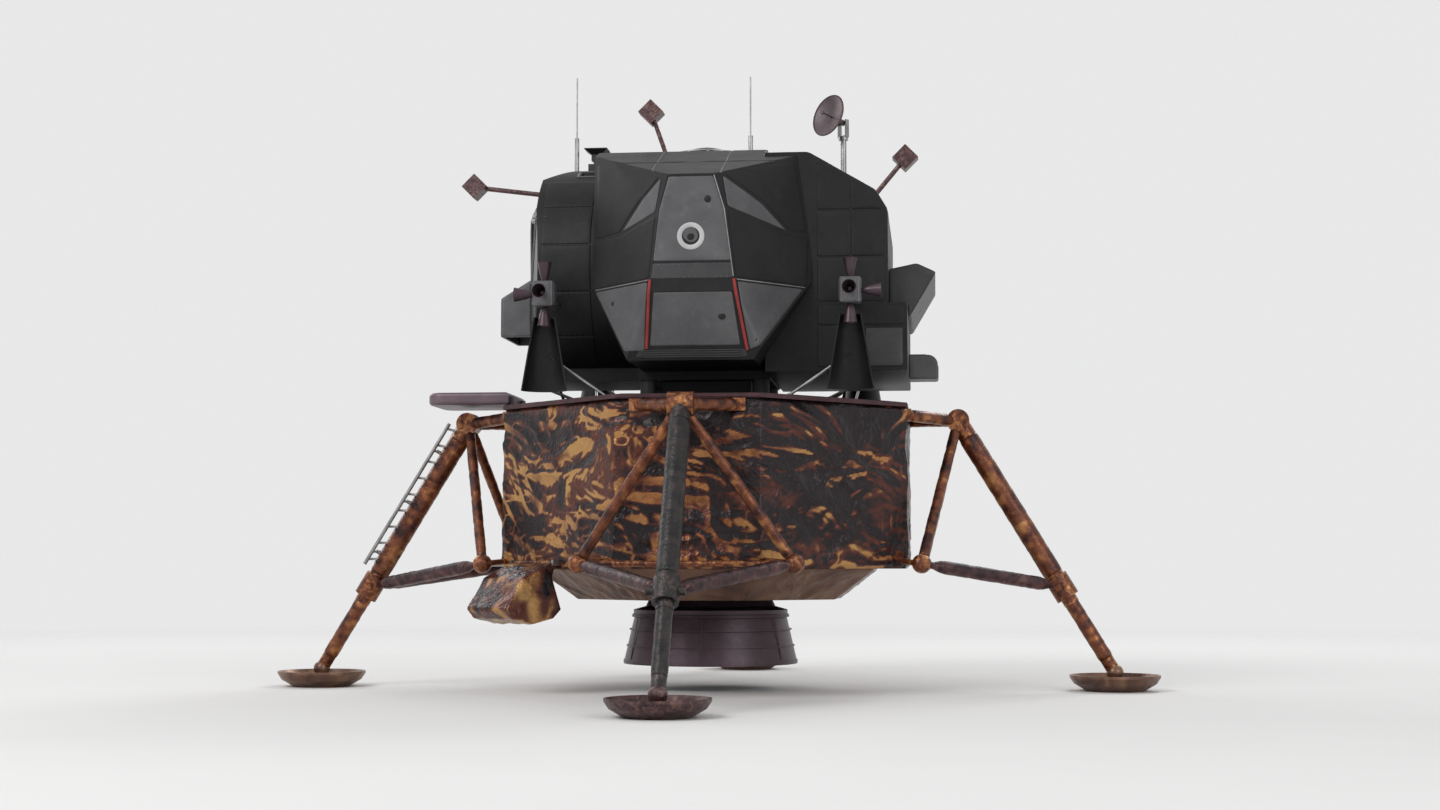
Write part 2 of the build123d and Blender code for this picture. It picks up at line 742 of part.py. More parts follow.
panes = []
pane_shrink = -0.004
for side in (-1, 1):
    cabin -= cheek_pane(side, 3 * cabin_wall, -cabin_wall, 0)
    panes.append(cheek_pane(side, window_thickness, window_set_in, pane_shrink))
roof_window_far = roof_window_near + roof_window_width
roof_window_back = roof_window_front - roof_window_length
cabin -= block((roof_window_near, -roof_window_front, cabin_height),
               (roof_window_far, -roof_window_back, mid_roof))
roof_pane_height = cabin_height + sqrt(cabin_radius ** 2 - roof_window_far ** 2) - window_thickness
roof_pane = block((roof_window_near + seat, -roof_window_front + seat, roof_pane_height),
                  (roof_window_far - seat, -roof_window_back - seat, roof_pane_height + window_thickness))
panes.append(roof_pane)
parts["cabin_windows"] = solids_of(*panes)

console_front = cabin_wall + seat - cabin_front
console_top = console_bottom + console_height
console_outline = [(console_front, console_bottom), (console_front, console_top),
                   (console_front + console_top_depth, console_top),
                   (console_front + console_depth, console_bottom + console_lip),
                   (console_front + console_depth, console_bottom)]
parts["control_console"] = side_prism(console_outline, console_half)

# Forward hatch: opens inward on its starboard edge
hatch_hinge_x = -hatch_half + hatch_hinge_radius + running_gap
hatch_hinge_y = -cabin_front + cabin_wall + hatch_hinge_radius
hatch_back = -cabin_front + hatch_set_in + hatch_thickness
hatch = block((-hatch_half + running_gap, -cabin_front + hatch_set_in, hatch_bottom + running_gap),
              (hatch_half - running_gap, hatch_back, hatch_top - running_gap))
hatch = fillet(hatch.edges().filter_by(Axis.Y), hatch_corner - running_gap)
knuckle_low = hatch_bottom + knuckle_inset
knuckle_high = hatch_top - knuckle_inset
hatch += rod((hatch_hinge_x, hatch_hinge_y, knuckle_low), (hatch_hinge_x, hatch_hinge_y, knuckle_high),
             hatch_hinge_radius)
hatch += block((hatch_hinge_x, hatch_back - 4, knuckle_low + hatch_hinge_radius),
               (hatch_hinge_x + hatch_corner, hatch_hinge_y + 4, knuckle_high - hatch_hinge_radius))
parts["forward_hatch"] = hatch
for low in (knuckle_low - seat - knuckle_height, knuckle_high + seat):
    cabin += block((-hatch_half - hatch_corner, -cabin_front + cabin_wall - 2, low),
                   (hatch_hinge_x, hatch_hinge_y + hatch_hinge_radius, low + knuckle_height))
    cabin += rod((hatch_hinge_x, hatch_hinge_y, low), (hatch_hinge_x, hatch_hinge_y, low + knuckle_height),
                 hatch_hinge_radius)
parts["cabin_shell"] = cabin

# Nose hood: open below and behind
hood_outline = [(-cabin_front - seat, hood_bottom), (-hood_front, hood_bottom), (-hood_front, hood_top),
                (-cabin_front - seat, hood_back_top)]
hood_room_back = hood_wall - cabin_front
hood_room = [(hood_room_back, hood_bottom - hood_wall), (-hood_front + hood_wall, hood_bottom - hood_wall),
             (-hood_front + hood_wall, hood_top - hood_wall),
             (hood_room_back, hood_back_top - 1.5 * hood_wall)]
parts["nose_hood"] = side_prism(hood_outline, hood_half) - side_prism(hood_room, hood_half - hood_wall)

# Midsection: drum, keel and raised roof, with the docking tunnel sunk into it
mid_drum = Pos(0, 0, cabin_height) * Rot(90, 0, 0) * Cylinder(cabin_radius, 2 * mid_half_length - 2 * seat)
midsection = mid_drum + block((-mid_keel_half, -mid_half_length + seat, keel_bottom),
                              (mid_keel_half, mid_half_length - seat, cabin_height))
roof_box = block((-mid_roof_half, -mid_half_length + seat, cabin_height),
                 (mid_roof_half, mid_half_length - seat, mid_roof))
fall_start = dock_flange_radius - dock_centre
fall_normal = (0, -roof_fall, mid_half_length - fall_start)
roof_box = kept_below(roof_box, (0, -fall_start, mid_roof), fall_normal)
midsection += roof_box
midsection += block((-pan_half, -pan_half, deck_top + pan_gap), (pan_half, pan_half, cabin_height))
tunnel = Pos(0, dock_centre, mid_roof - tunnel_depth) * Cylinder(
    dock_outer_radius + 5, tunnel_depth + 20, align=(Align.CENTER, Align.CENTER, Align.MIN))
midsection -= tunnel
midsection -= Pos(0, dock_centre, mid_roof - tunnel_depth) * Cylinder(
    tunnel_room_radius, tunnel_depth - tunnel_lip, align=(Align.CENTER, Align.CENTER, Align.MIN))
parts["midsection"] = midsection

# Collar section from its inner foot: flange, step, wall, rounded lip; radius, height
dock_lip = 12
dock_step = 20
dock = turned([(dock_inner_radius, mid_roof + seat), (dock_flange_radius, mid_roof + seat),
               (dock_flange_radius, dock_flange_height), (dock_outer_radius, dock_flange_height + dock_step),
               (dock_outer_radius, dock_top - dock_lip), (dock_outer_radius - dock_lip, dock_top),
               (dock_inner_radius, dock_top)])
lid_radius = dock_inner_radius - running_gap
lid_sphere = (lid_radius ** 2 + (lid_crown - lid_rim_height) ** 2) / (2 * (lid_crown - lid_rim_height))
lid = Pos(0, 0, lid_crown - lid_sphere) * Sphere(lid_sphere)
lid &= Pos(0, 0, lid_rim_height - lid_wall) * Cylinder(
    lid_radius, 400, align=(Align.CENTER, Align.CENTER, Align.MIN))
lid_pin_y = dock_inner_radius - 40
lid_pin_z = lid_rim_height - lid_wall - 30
for side in (-1, 1):
    arm_low, arm_high = sorted((side * (lid_arm_at - lid_hinge_radius), side * lid_pin_half))
    lid += block((arm_low, lid_pin_y - 60, lid_pin_z - 10), (arm_high, lid_pin_y + 8, lid_rim_height - 5))
lid += rod((-lid_pin_half, lid_pin_y, lid_pin_z), (lid_pin_half, lid_pin_y, lid_pin_z), lid_hinge_radius)
for side in (-1, 1):
    ear_start = lid_pin_half + seat
    ear_low, ear_high = sorted((side * ear_start, side * (ear_start + 2 * lid_hinge_radius)))
    dock += block((ear_low, lid_pin_y - lid_hinge_radius - 2, lid_pin_z - lid_hinge_radius - 2),
                  (ear_high, dock_inner_radius + 6, lid_pin_z + lid_hinge_radius + 2))
parts["docking_ring"] = Pos(0, dock_centre, 0) * dock
parts["overhead_hatch"] = Pos(0, dock_centre, 0) * lid

# Tank bays: a tapered centre panel, swept side panels, hips above and tucked lower corners


def tank_bay(side, reach):
    """A block cut by one plane for each face, then by the hull that it sits on."""
    inside = (reach - bay_side_sweep, 0, cabin_height)
    over = mid_roof + 2 * bay_tuck
    form = block((mid_keel_half, bay_ends[0][2], bay_bottom), (reach, bay_ends[1][2], over))
    crest_reach = reach - bay_crest_set_back
    swept = reach - bay_side_sweep
    for low_edge, high_edge, corner, hip_tip, tuck_end in bay_ends:
        edge_hip = high_edge + (low_edge - high_edge) * 0.2
        # Side panel, hip and tucked corner: three points on each
        cuts = [((reach, low_edge, bay_bottom), (reach, high_edge, bay_crest_height),
                 (swept, corner, bay_waist_height)),
                ((reach, edge_hip, bay_edge_hip_height), (crest_reach, high_edge, bay_crest_height),
                 (reach - bay_hip_sweep, hip_tip, bay_hip_height)),
                ((reach, corner, bay_waist_height), (swept, corner, bay_waist_height),
                 (reach, tuck_end, bay_tuck_height))]
        for first, second, third in cuts:
            form = kept_inside(form, first, second, third, inside)
    form = kept_inside(form, (crest_reach, -cabin_wall, bay_crest_height),
                       (crest_reach, cabin_wall, bay_crest_height), (mid_roof_half, 0, mid_roof), inside)
    form = kept_inside(form, (reach, -cabin_wall, bay_break_height), (reach, cabin_wall, bay_break_height),
                       (reach - bay_tuck, 0, bay_bottom), inside)
    drum = Rot(90, 0, 0) * Cylinder(cabin_radius + seat, 2 * cabin_front)
    form -= Pos(0, 0, cabin_height) * drum
    for half, low, high in [(mid_roof_half, cabin_height, over), (mid_keel_half, keel_bottom, cabin_height)]:
        form -= block((-half - seat, -cabin_front, low), (half + seat, cabin_front, high))
    form -= block((0, mid_half_length, deck_top), (aft_half + seat, aft_lower_rear, over))
    form = largest(form)
    if side < 0:
        form = mirror(form, Plane.YZ)
    return form


parts["port_tank_bay"] = tank_bay(1, port_reach)
parts["starboard_tank_bay"] = tank_bay(-1, starboard_reach)

# Aft bay and what hangs on it
aft_outline = [(mid_half_length, aft_bottom), (aft_lower_rear, aft_bottom), (aft_lower_rear, aft_lower_top),
               (aft_upper_rear, aft_lower_top), (aft_upper_rear, aft_shoulder_height),
               (aft_brow_rear, aft_brow_height), (aft_crest_rear, aft_roof), (mid_half_length, aft_roof)]
parts["aft_bay"] = side_prism(aft_outline, aft_half)
hood_seat = aft_upper_rear + seat
hood_foot = aft_lower_top - aft_hood_drop
aft_hood_outline = [(hood_seat, aft_lower_top + seat), (aft_lower_rear + seat, aft_lower_top + seat),
                    (aft_lower_rear + seat, hood_foot), (aft_lower_rear + aft_hood_lip, hood_foot),
                    (aft_hood_reach, aft_lower_top + aft_hood_nose_rise),
                    (aft_lower_rear + aft_hood_brow_length, aft_lower_top + aft_hood_brow_rise),
                    (hood_seat, aft_lower_top + aft_hood_back_rise)]
parts["aft_hood"] = side_prism(aft_hood_outline, aft_hood_half)
junction = block((-box_half, aft_lower_rear + seat, box_bottom), (box_half, box_reach, box_top))
junction = fillet(junction.edges().filter_by(Axis.X).sort_by(Axis.Y)[-2:].sort_by(Axis.Z)[-1], box_corner)
parts["aft_junction_box"] = junction

# Posts between the deck and the midsection keel
posts = []
for x in (-post_offset, post_offset):
    for y in (-post_offset, post_offset):
        posts.append(rod((x, y, deck_top + seat), (x, y, keel_bottom - seat), post_radius))
parts["interstage_posts"] = solids_of(*posts)

# Thruster clusters: a core, an arm to the hull and four bells each
waist_radius = nozzle_throat_radius + nozzle_waist
bell_profile = [(nozzle_throat_radius, 0), (waist_radius, nozzle_length * 0.45),
                (nozzle_exit_radius, nozzle_length), (nozzle_exit_radius - nozzle_wall, nozzle_length),
                (waist_radius - nozzle_wall, nozzle_length * 0.46),
                (nozzle_throat_radius - nozzle_wall, nozzle_length * 0.1), (0, nozzle_length * 0.1), (0, 0)]
thruster_bell = turned(bell_profile)
hull_room = Pos(0, 0, cabin_height) * Rot(90, 0, 0) * Cylinder(cabin_radius + seat, 2 * cabin_front - 2)
quads = []
bells = []
# Side, distance along Y, direction of the fore or aft bell
clusters = [(1, -quad_forward, -1), (1, quad_aft, 1), (-1, -quad_forward, -1), (-1, quad_aft, 1)]
for side, forward, way in clusters:
    centre = (side * quad_side, forward, quad_height)
    core = Pos(*centre) * Box(quad_core, quad_core, quad_core * quad_tall_share)
    core = fillet(core.edges().filter_by(Axis.Z), quad_core / 7)
    inner_x = side * mid_roof_half if way < 0 else side * (aft_half + seat)
    arm_height = quad_height - quad_arm_drop
    arm = rod((inner_x, forward, arm_height), (side * quad_side, forward, arm_height), quad_arm_radius)
    if way < 0:
        arm = arm - hull_room
    quads.append(core + arm)
    reach = quad_core / 2
    tall_reach = reach * quad_tall_share
    for direction, offset in [((0, way, 0), reach), ((side, 0, 0), reach), ((0, 0, 1), tall_reach),
                              ((0, 0, -1), tall_reach)]:
        origin = tuple(c + d * (offset + seat) for c, d in zip(centre, direction))
        bells.append(aimed(thruster_bell, origin, direction))
parts["thruster_cores"] = solids_of(*quads)
parts["thruster_bells"] = solids_of(*bells)

# Plume deflectors: tapered half shells, open outboard, on three struts each
deflectors = []


def crescent(radius, height):
    outer = CenterArc((0, 0, height), radius, 90, 180)
    inner = CenterArc((0, 0, height), radius - deflector_wall, 90, 180)
    ends = [Line(outer @ 0, inner @ 0), Line(outer @ 1, inner @ 1)]
    return make_face([outer, inner] + ends)


shell = loft([crescent(deflector_bottom_radius, deflector_bottom),
              crescent(deflector_top_radius, deflector_top)])
for side, forward, way in clusters:
    place = Pos(side * quad_side, forward, 0)
    if side < 0:
        place = place * Rot(0, 0, 180)
    deflector = place * shell
    shell_middle = (deflector_bottom + deflector_top) / 2
    middle_radius = (deflector_bottom_radius + deflector_top_radius) / 2
    low_back = side * (quad_side - deflector_bottom_radius + deflector_wall / 2)
    middle_back = side * (quad_side - middle_radius + deflector_wall / 2)
    for inboard, towards_middle, high in deflector_feet:
        start = (low_back, forward, deflector_bottom + 2 * deflector_strut_radius)
        if high:
            start = (middle_back, forward, shell_middle)
        end = (side * (quad_side - inboard), forward - way * towards_middle, deck_top)
        deflector += rod(start, end, deflector_strut_radius)
    deflectors.append(largest(above(deflector, deck_top + seat)))
parts["plume_deflectors"] = solids_of(*deflectors)

# Steerable dish: mast, azimuth yoke and dish
mast_top = dish_height - yoke_drop
mast_foot = aft_roof - mast_root
mast = rod((dish_side, dish_forward, mast_foot), (dish_side, dish_forward, mast_top), mast_radius)
mast += rod((dish_side, dish_forward, mast_foot), (dish_side, dish_forward, aft_roof), mast_radius * 2)
aft_envelope = side_prism([(y, z + 1.2 * seat) for y, z in aft_outline], aft_half + seat)
parts["dish_mast"] = largest(mast - aft_envelope)
yoke_low = mast_top + seat - dish_height
arm_inner = yoke_width / 2 - yoke_arm
yoke = rod((0, 0, yoke_low), (0, 0, yoke_low + 40), mast_radius * 1.6)
yoke += block((-yoke_width / 2, -yoke_half, yoke_low + 30), (yoke_width / 2, yoke_half, yoke_low + 50))
for side in (-1, 1):
    low_x, high_x = sorted((side * arm_inner, side * yoke_width / 2))
    yoke += block((low_x, -yoke_half, yoke_low + 40), (high_x, yoke_half, yoke_half + 4))
dish_place = Pos(dish_side, dish_forward, dish_height) * Rot(0, 0, dish_turn)
parts["dish_yoke"] = dish_place * yoke
dish_sphere = (dish_radius ** 2 + dish_depth ** 2) / (2 * dish_depth)
bowl = Pos(0, 0, dish_sphere) * (Sphere(dish_sphere) - Sphere(dish_sphere - dish_wall))
bowl &= Cylinder(dish_radius + 30, dish_depth, align=(Align.CENTER, Align.CENTER, Align.MIN))
bowl += Pos(0, 0, -dish_offset / 2) * Cylinder(dish_hub_radius, dish_offset + 2 * dish_wall)
feed_reach = dish_radius * feed_reach_share
bowl += Pos(0, 0, feed_reach / 2) * Cylinder(feed_radius, feed_reach)
bowl += Pos(0, 0, feed_reach) * Cylinder(3 * feed_radius, 2 * feed_radius)
dish = Rot(dish_tilt - 90, 0, 0) * Pos(0, 0, dish_offset) * bowl
dish += rod((-arm_inner + seat, 0, 0), (arm_inner - seat, 0, 0), yoke_half - 2)
parts["dish"] = dish_place * dish

# Whips on the roofs
roof_envelope = block((-mid_roof_half - seat, -mid_half_length, cabin_height),
                      (mid_roof_half + seat, mid_half_length, mid_roof + seat))
hull_envelope = [cabin_envelope, roof_envelope, aft_envelope]
whips = []
for x, y, low, step, tip in whip_table:
    whip = rod((x, y, low - 60), (x, y, step), whip_base_radius)
    whip += rod((x, y, step - 5), (x, y, tip), whip_radius)
    for envelope in hull_envelope:
        whip -= envelope
    whips.append(largest(whip))
parts["whip_antennas"] = solids_of(*whips)

# Antenna boxes on booms
booms = []
for start, end in boom_table:
    boom = rod(start, end, boom_radius)
    cube = Pos(*end) * Rot(45, 0, 0) * Box(boom_box, boom_box, boom_box)
    for envelope in hull_envelope:
        boom -= envelope
    booms.append(largest(boom + cube))
parts["boom_antennas"] = solids_of(*booms)

# Rendezvous radar block
pedestal = block((-pedestal_width / 2, block_forward - pedestal_width / 2, pedestal_top - pedestal_root),
                 (pedestal_width / 2, block_forward + pedestal_width / 2, pedestal_top))
for side in (-1, 1):
    low_x, high_x = sorted((side * (pedestal_width / 2 - head_ear), side * pedestal_width / 2))
    pedestal += block((low_x, block_forward - 2 * head_ear, pedestal_top),
                      (high_x, block_forward + 2 * head_ear, head_pivot_height + 2 * head_ear))
parts["radar_pedestal"] = largest(pedestal - cabin_envelope)
# Horn head: a square trunk below its flare, drawn about its pivot
trunk_top = head_half - 15
rim_low = head_top - head_pivot_height - head_rim


def square_at(half, height):
    return make_face(Polyline((-half, -half, height), (half, -half, height), (half, half, height),
                              (-half, half, height), close=True))


head = block((-head_half, -head_half, -head_half / 2), (head_half, head_half, trunk_top))
head += loft([square_at(head_half, trunk_top), square_at(head_rim_half, rim_low)])
head += extrude(square_at(head_rim_half, rim_low), head_rim, dir=(0, 0, 1))
pin_half = pedestal_width / 2 - head_ear - seat
head += rod((-pin_half, 0, 0), (pin_half, 0, 0), head_pin_radius)
parts["radar_head"] = Pos(0, block_forward, head_pivot_height) * head

os.makedirs("parts", exist_ok=True)
for name, shape in parts.items():
    export_step(shape, f"parts/{name}.step")
    print(name, len(shape.solids()), round(shape.volume / 1e9, 4))
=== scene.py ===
import math
import bpy
import numpy as np
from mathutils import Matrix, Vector
from mathutils.bvhtree import BVHTree


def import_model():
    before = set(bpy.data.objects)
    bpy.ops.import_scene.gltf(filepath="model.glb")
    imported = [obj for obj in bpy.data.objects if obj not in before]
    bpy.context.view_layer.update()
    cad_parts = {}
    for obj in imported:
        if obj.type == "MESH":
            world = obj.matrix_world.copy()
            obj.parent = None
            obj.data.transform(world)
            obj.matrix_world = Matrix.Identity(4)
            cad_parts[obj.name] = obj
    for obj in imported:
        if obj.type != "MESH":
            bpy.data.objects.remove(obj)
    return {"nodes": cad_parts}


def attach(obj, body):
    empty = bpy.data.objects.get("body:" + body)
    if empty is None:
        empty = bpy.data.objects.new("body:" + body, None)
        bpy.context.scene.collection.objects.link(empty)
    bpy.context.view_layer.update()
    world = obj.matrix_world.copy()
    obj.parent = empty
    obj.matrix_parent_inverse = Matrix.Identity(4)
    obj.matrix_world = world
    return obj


# Looks of a two-stage crewed lander. Metres, +Z up, forward is -Y, port is +X
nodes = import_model()["nodes"]
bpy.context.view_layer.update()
print("stage: frame loaded,", len(nodes), "nodes")


# Camera and lamps

camera = {"place": (22.149, 2.396, 1.309), "aim": (0.0, 0.10, 3.02), "lens": 52.0, "sensor": 36.0}
studio = {"floorColour": (0.80, 0.795, 0.79), "worldColour": (0.90, 0.90, 0.905), "worldLight": 0.50,
          "backdrop": 0.90, "floorRadius": 34.0, "fadeStart": 7.0, "fadeEnd": 26.0}
# place, aim, size, watts
lamps = {
    "key": ((17.0, -13.0, 17.0), (0, 0, 2.5), 13.0, 2900.0),
    "fill": ((18.0, 17.0, 10.0), (0, 0, 3.0), 14.0, 1300.0),
    "rim": ((-16.0, 10.0, 17.0), (0, 0, 3.0), 12.0, 2000.0),
    "back": ((-14.0, -15.0, 12.0), (0, 0, 3.0), 12.0, 1000.0),
}


def addObject(name, data):
    item = bpy.data.objects.new(name, data)
    bpy.context.scene.collection.objects.link(item)
    return item


def lookAt(item, place, aim):
    item.location = place
    direction = np.array(aim, float) - np.array(place, float)
    item.rotation_mode = "QUATERNION"
    item.rotation_quaternion = Vector(direction).to_track_quat("-Z", "Y")


def makeCamera():
    data = bpy.data.cameras.new("camera")
    data.lens, data.sensor_width, data.clip_end = camera["lens"], camera["sensor"], 500.0
    item = addObject("camera", data)
    lookAt(item, camera["place"], camera["aim"])
    bpy.context.scene.camera = item


def makeLamps():
    for name, (place, aim, size, watts) in lamps.items():
        data = bpy.data.lights.new(name + "Lamp", "AREA")
        data.shape, data.size, data.energy = "DISK", size, watts
        lookAt(addObject(name + "Lamp", data), place, aim)


makeCamera()
makeLamps()
bpy.context.scene.view_settings.view_transform = "Standard"


# Shader helpers


def feed(tree, value, socket):
    # A node's output is linked; anything else becomes the input's own value
    if hasattr(value, "is_linked"):
        tree.links.new(value, socket)
    else:
        socket.default_value = value


def feedAll(tree, item, inputs):
    for key, value in inputs.items():
        feed(tree, value, item.inputs[key])


def addNode(tree, kind, inputs=None, **settings):
    item = tree.nodes.new("ShaderNode" + kind)
    for key, value in settings.items():
        setattr(item, key, value)
    feedAll(tree, item, inputs or {})
    return item


def calc(tree, operation, first, second=0.0, clamp=False):
    return addNode(tree, "Math", {0: first, 1: second}, operation=operation, use_clamp=clamp).outputs[0]


def scaled(tree, value, gain, shift, clamp=False):
    return calc(tree, "ADD", calc(tree, "MULTIPLY", value, gain), shift, clamp)


def mixColour(tree, factor, first, second):
    return addNode(tree, "Mix", {0: factor, 6: first, 7: second}, data_type="RGBA").outputs[2]


def noise(tree, vector, scale, detail=4.0, rough=0.55, distort=0.0, output="Fac"):
    inputs = {"Vector": vector, "Scale": scale, "Detail": detail, "Roughness": rough, "Distortion": distort}
    return addNode(tree, "TexNoise", inputs).outputs[output]


def mapRange(tree, value, low, high, kind="LINEAR"):
    inputs = {"Value": value, "From Min": low, "From Max": high}
    return addNode(tree, "MapRange", inputs, interpolation_type=kind).outputs["Result"]


def ramp(tree, value, stops):
    item = addNode(tree, "ValToRGB", {"Fac": value})
    for element, (place, shade) in zip(item.color_ramp.elements, stops):
        element.position = place
        element.color = rgb(shade)
    return item.outputs["Color"]


def rgb(shade):
    return (*shade, 1.0)


def newGroup(name, inputs, outputs):
    # Inputs beside Vector: a number makes a value, a tone makes a colour
    tree = bpy.data.node_groups.new(name, "ShaderNodeTree")
    tree.interface.new_socket(name="Vector", in_out="INPUT", socket_type="NodeSocketVector")
    for label, value in inputs.items():
        kind = "NodeSocketColor" if isinstance(value, tuple) else "NodeSocketFloat"
        tree.interface.new_socket(name=label, in_out="INPUT", socket_type=kind).default_value = value
    for label, kind in outputs.items():
        tree.interface.new_socket(name=label, in_out="OUTPUT", socket_type="NodeSocket" + kind)
    return tree, tree.nodes.new("NodeGroupInput").outputs, tree.nodes.new("NodeGroupOutput").inputs


def addBump(tree, height, given, made):
    inputs = {"Height": height, "Distance": given["Depth"], "Strength": given["Strength"]}
    feed(tree, addNode(tree, "Bump", inputs).outputs["Normal"], made["Normal"])


# Mottle: two tones in broad soft blotches
mottleInputs = {"Light": rgb((0.4,) * 3), "Dark": rgb((0.2,) * 3), "Scale": 2.0, "Contrast": 1.0}
mottleGroup, given, made = newGroup("mottle", mottleInputs, {"Color": "Color"})
broad = noise(mottleGroup, given["Vector"], given["Scale"], 5.0, 0.6, 0.4)
gained = calc(mottleGroup, "MULTIPLY", calc(mottleGroup, "SUBTRACT", broad, 0.5), given["Contrast"])
mask = scaled(mottleGroup, gained, 2.2, 0.5, True)
feed(mottleGroup, mixColour(mottleGroup, mask, given["Dark"], given["Light"]), made["Color"])

# Crinkle: film creases as a normal, from folded cells pushed about by noise
crinkleGroup, given, made = newGroup("crinkle", {"Scale": 12.0, "Depth": 0.02, "Strength": 0.8},
                                     {"Normal": "Vector"})
pushed = noise(crinkleGroup, given["Vector"], 3.0, 2.0, output="Color")
push = addNode(crinkleGroup, "VectorMath", {0: pushed, "Scale": 0.22}, operation="SCALE").outputs[0]
bent = addNode(crinkleGroup, "VectorMath", {0: given["Vector"], 1: push}, operation="ADD").outputs[0]
cells = []
for scale in (given["Scale"], calc(crinkleGroup, "MULTIPLY", given["Scale"], 2.7)):
    inputs = {"Vector": bent, "Scale": scale}
    cells.append(addNode(crinkleGroup, "TexVoronoi", inputs, feature="DISTANCE_TO_EDGE").outputs["Distance"])
folds = calc(crinkleGroup, "ADD", cells[0], calc(crinkleGroup, "MULTIPLY", cells[1], 0.4))
addBump(crinkleGroup, folds, given, made)

# Grain: fine rolled or sprayed texture as a normal, and a mask for roughness
grainGroup, given, made = newGroup("grain", {"Scale": 60.0, "Depth": 0.002, "Strength": 0.4},
                                   {"Normal": "Vector", "Mask": "Float"})
fine = noise(grainGroup, given["Vector"], given["Scale"], 6.0, 0.65)
wavy = noise(grainGroup, given["Vector"], 4.0, 2.0)
addBump(grainGroup, calc(grainGroup, "ADD", fine, calc(grainGroup, "MULTIPLY", wavy, 4.0)), given, made)
feed(grainGroup, fine, made["Mask"])

# Scuff: pale rubs and dust that gather where noise peaks
scuffInputs = {"Color": rgb((0.3,) * 3), "Scuff": rgb((0.6,) * 3), "Scale": 7.0, "Amount": 0.4}
scuffGroup, given, made = newGroup("scuff", scuffInputs, {"Color": "Color"})
rub = noise(scuffGroup, given["Vector"], given["Scale"], 9.0, 0.72, 0.8)
rubShare = calc(scuffGroup, "MULTIPLY", mapRange(scuffGroup, rub, 0.54, 0.78), given["Amount"], True)
feed(scuffGroup, mixColour(scuffGroup, rubShare, given["Color"], given["Scuff"]), made["Color"])
print("stage: shader groups built")


# Materials


def newMaterial(name):
    material = bpy.data.materials.new(name)
    material.use_nodes = True
    tree = material.node_tree
    place = addNode(tree, "TexCoord").outputs["Object"]
    return material, tree, tree.nodes["Principled BSDF"], place


def addGroup(tree, group, inputs):
    item = addNode(tree, "Group", node_tree=group)
    feedAll(tree, item, inputs)
    return item.outputs


def attributeValue(tree, name):
    return addNode(tree, "Attribute", attribute_name=name).outputs["Fac"]


# Sheet finishes: light tone, dark tone, scuff tone, metallic, roughness, blotch scale, grain scale
sheetFinishes = {
    "greyPanel": ((0.110, 0.110, 0.115), (0.066, 0.066, 0.070), (0.19, 0.19, 0.195), 0.35, 0.47, 2.2, 90.0),
    "duskPanel": ((0.050, 0.048, 0.051), (0.028, 0.027, 0.029), (0.10, 0.10, 0.10), 0.30, 0.48, 2.4, 90.0),
    "blackPanel": ((0.0120, 0.0122, 0.0122), (0.0055, 0.0056, 0.0058), (0.034, 0.034, 0.035), 0.10, 0.50, 3.0,
                   120.0),
    "darkMetal": ((0.034, 0.031, 0.031), (0.014, 0.0135, 0.0140), (0.085, 0.08, 0.08), 0.35, 0.46, 3.5, 80.0),
    "bareMetal": ((0.36, 0.35, 0.345), (0.22, 0.215, 0.215), (0.50, 0.49, 0.48), 0.85, 0.34, 6.0, 160.0),
    "porchPlate": ((0.160, 0.112, 0.132), (0.095, 0.066, 0.082), (0.27, 0.22, 0.24), 0.40, 0.42, 3.0, 110.0),
    "duskTrim": ((0.085, 0.034, 0.040), (0.038, 0.016, 0.020), (0.20, 0.12, 0.12), 0.45, 0.38, 5.0, 110.0),
    "antennaDusk": ((0.150, 0.112, 0.120), (0.085, 0.060, 0.067), (0.26, 0.21, 0.215), 0.25, 0.45, 5.0,
                    130.0),
    "antennaWhite": ((0.38, 0.36, 0.34), (0.26, 0.245, 0.23), (0.50, 0.48, 0.46), 0.05, 0.50, 5.0, 130.0),
    "nozzleAlloy": ((0.082, 0.054, 0.066), (0.038, 0.024, 0.031), (0.15, 0.105, 0.118), 0.55, 0.40, 1.8,
                    70.0),
    "redStripe": ((0.30, 0.024, 0.022), (0.20, 0.014, 0.013), (0.38, 0.09, 0.08), 0.05, 0.45, 6.0, 120.0),
    "whitePaint": ((0.52, 0.52, 0.52), (0.40, 0.40, 0.40), (0.62, 0.62, 0.61), 0.0, 0.48, 7.0, 120.0),
}


def sheetMaterial(name):
    light, dark, scuffTone, metallic, rough, blotch, grainScale = sheetFinishes[name]
    material, tree, shader, place = newMaterial(name)
    mottle = addGroup(tree, mottleGroup, {"Vector": place, "Light": rgb(light), "Dark": rgb(dark),
                                          "Scale": blotch, "Contrast": 1.1})
    scuff = addGroup(tree, scuffGroup, {"Vector": place, "Color": mottle["Color"], "Scuff": rgb(scuffTone),
                                        "Scale": 9.0, "Amount": 0.35})
    value = calc(tree, "ADD", attributeValue(tree, "tone"), 1.0)
    toned = addNode(tree, "HueSaturation", {"Color": scuff["Color"], "Value": value})
    grain = addGroup(tree, grainGroup, {"Vector": place, "Scale": grainScale, "Depth": 0.0016,
                                        "Strength": 0.35})
    feedAll(tree, shader, {"Base Color": toned.outputs["Color"], "Normal": grain["Normal"],
                           "Roughness": scaled(tree, grain["Mask"], 0.24, rough - 0.12),
                           "Metallic": metallic, "Specular IOR Level": 0.28 if name == "blackPanel" else 0.5})
    return material
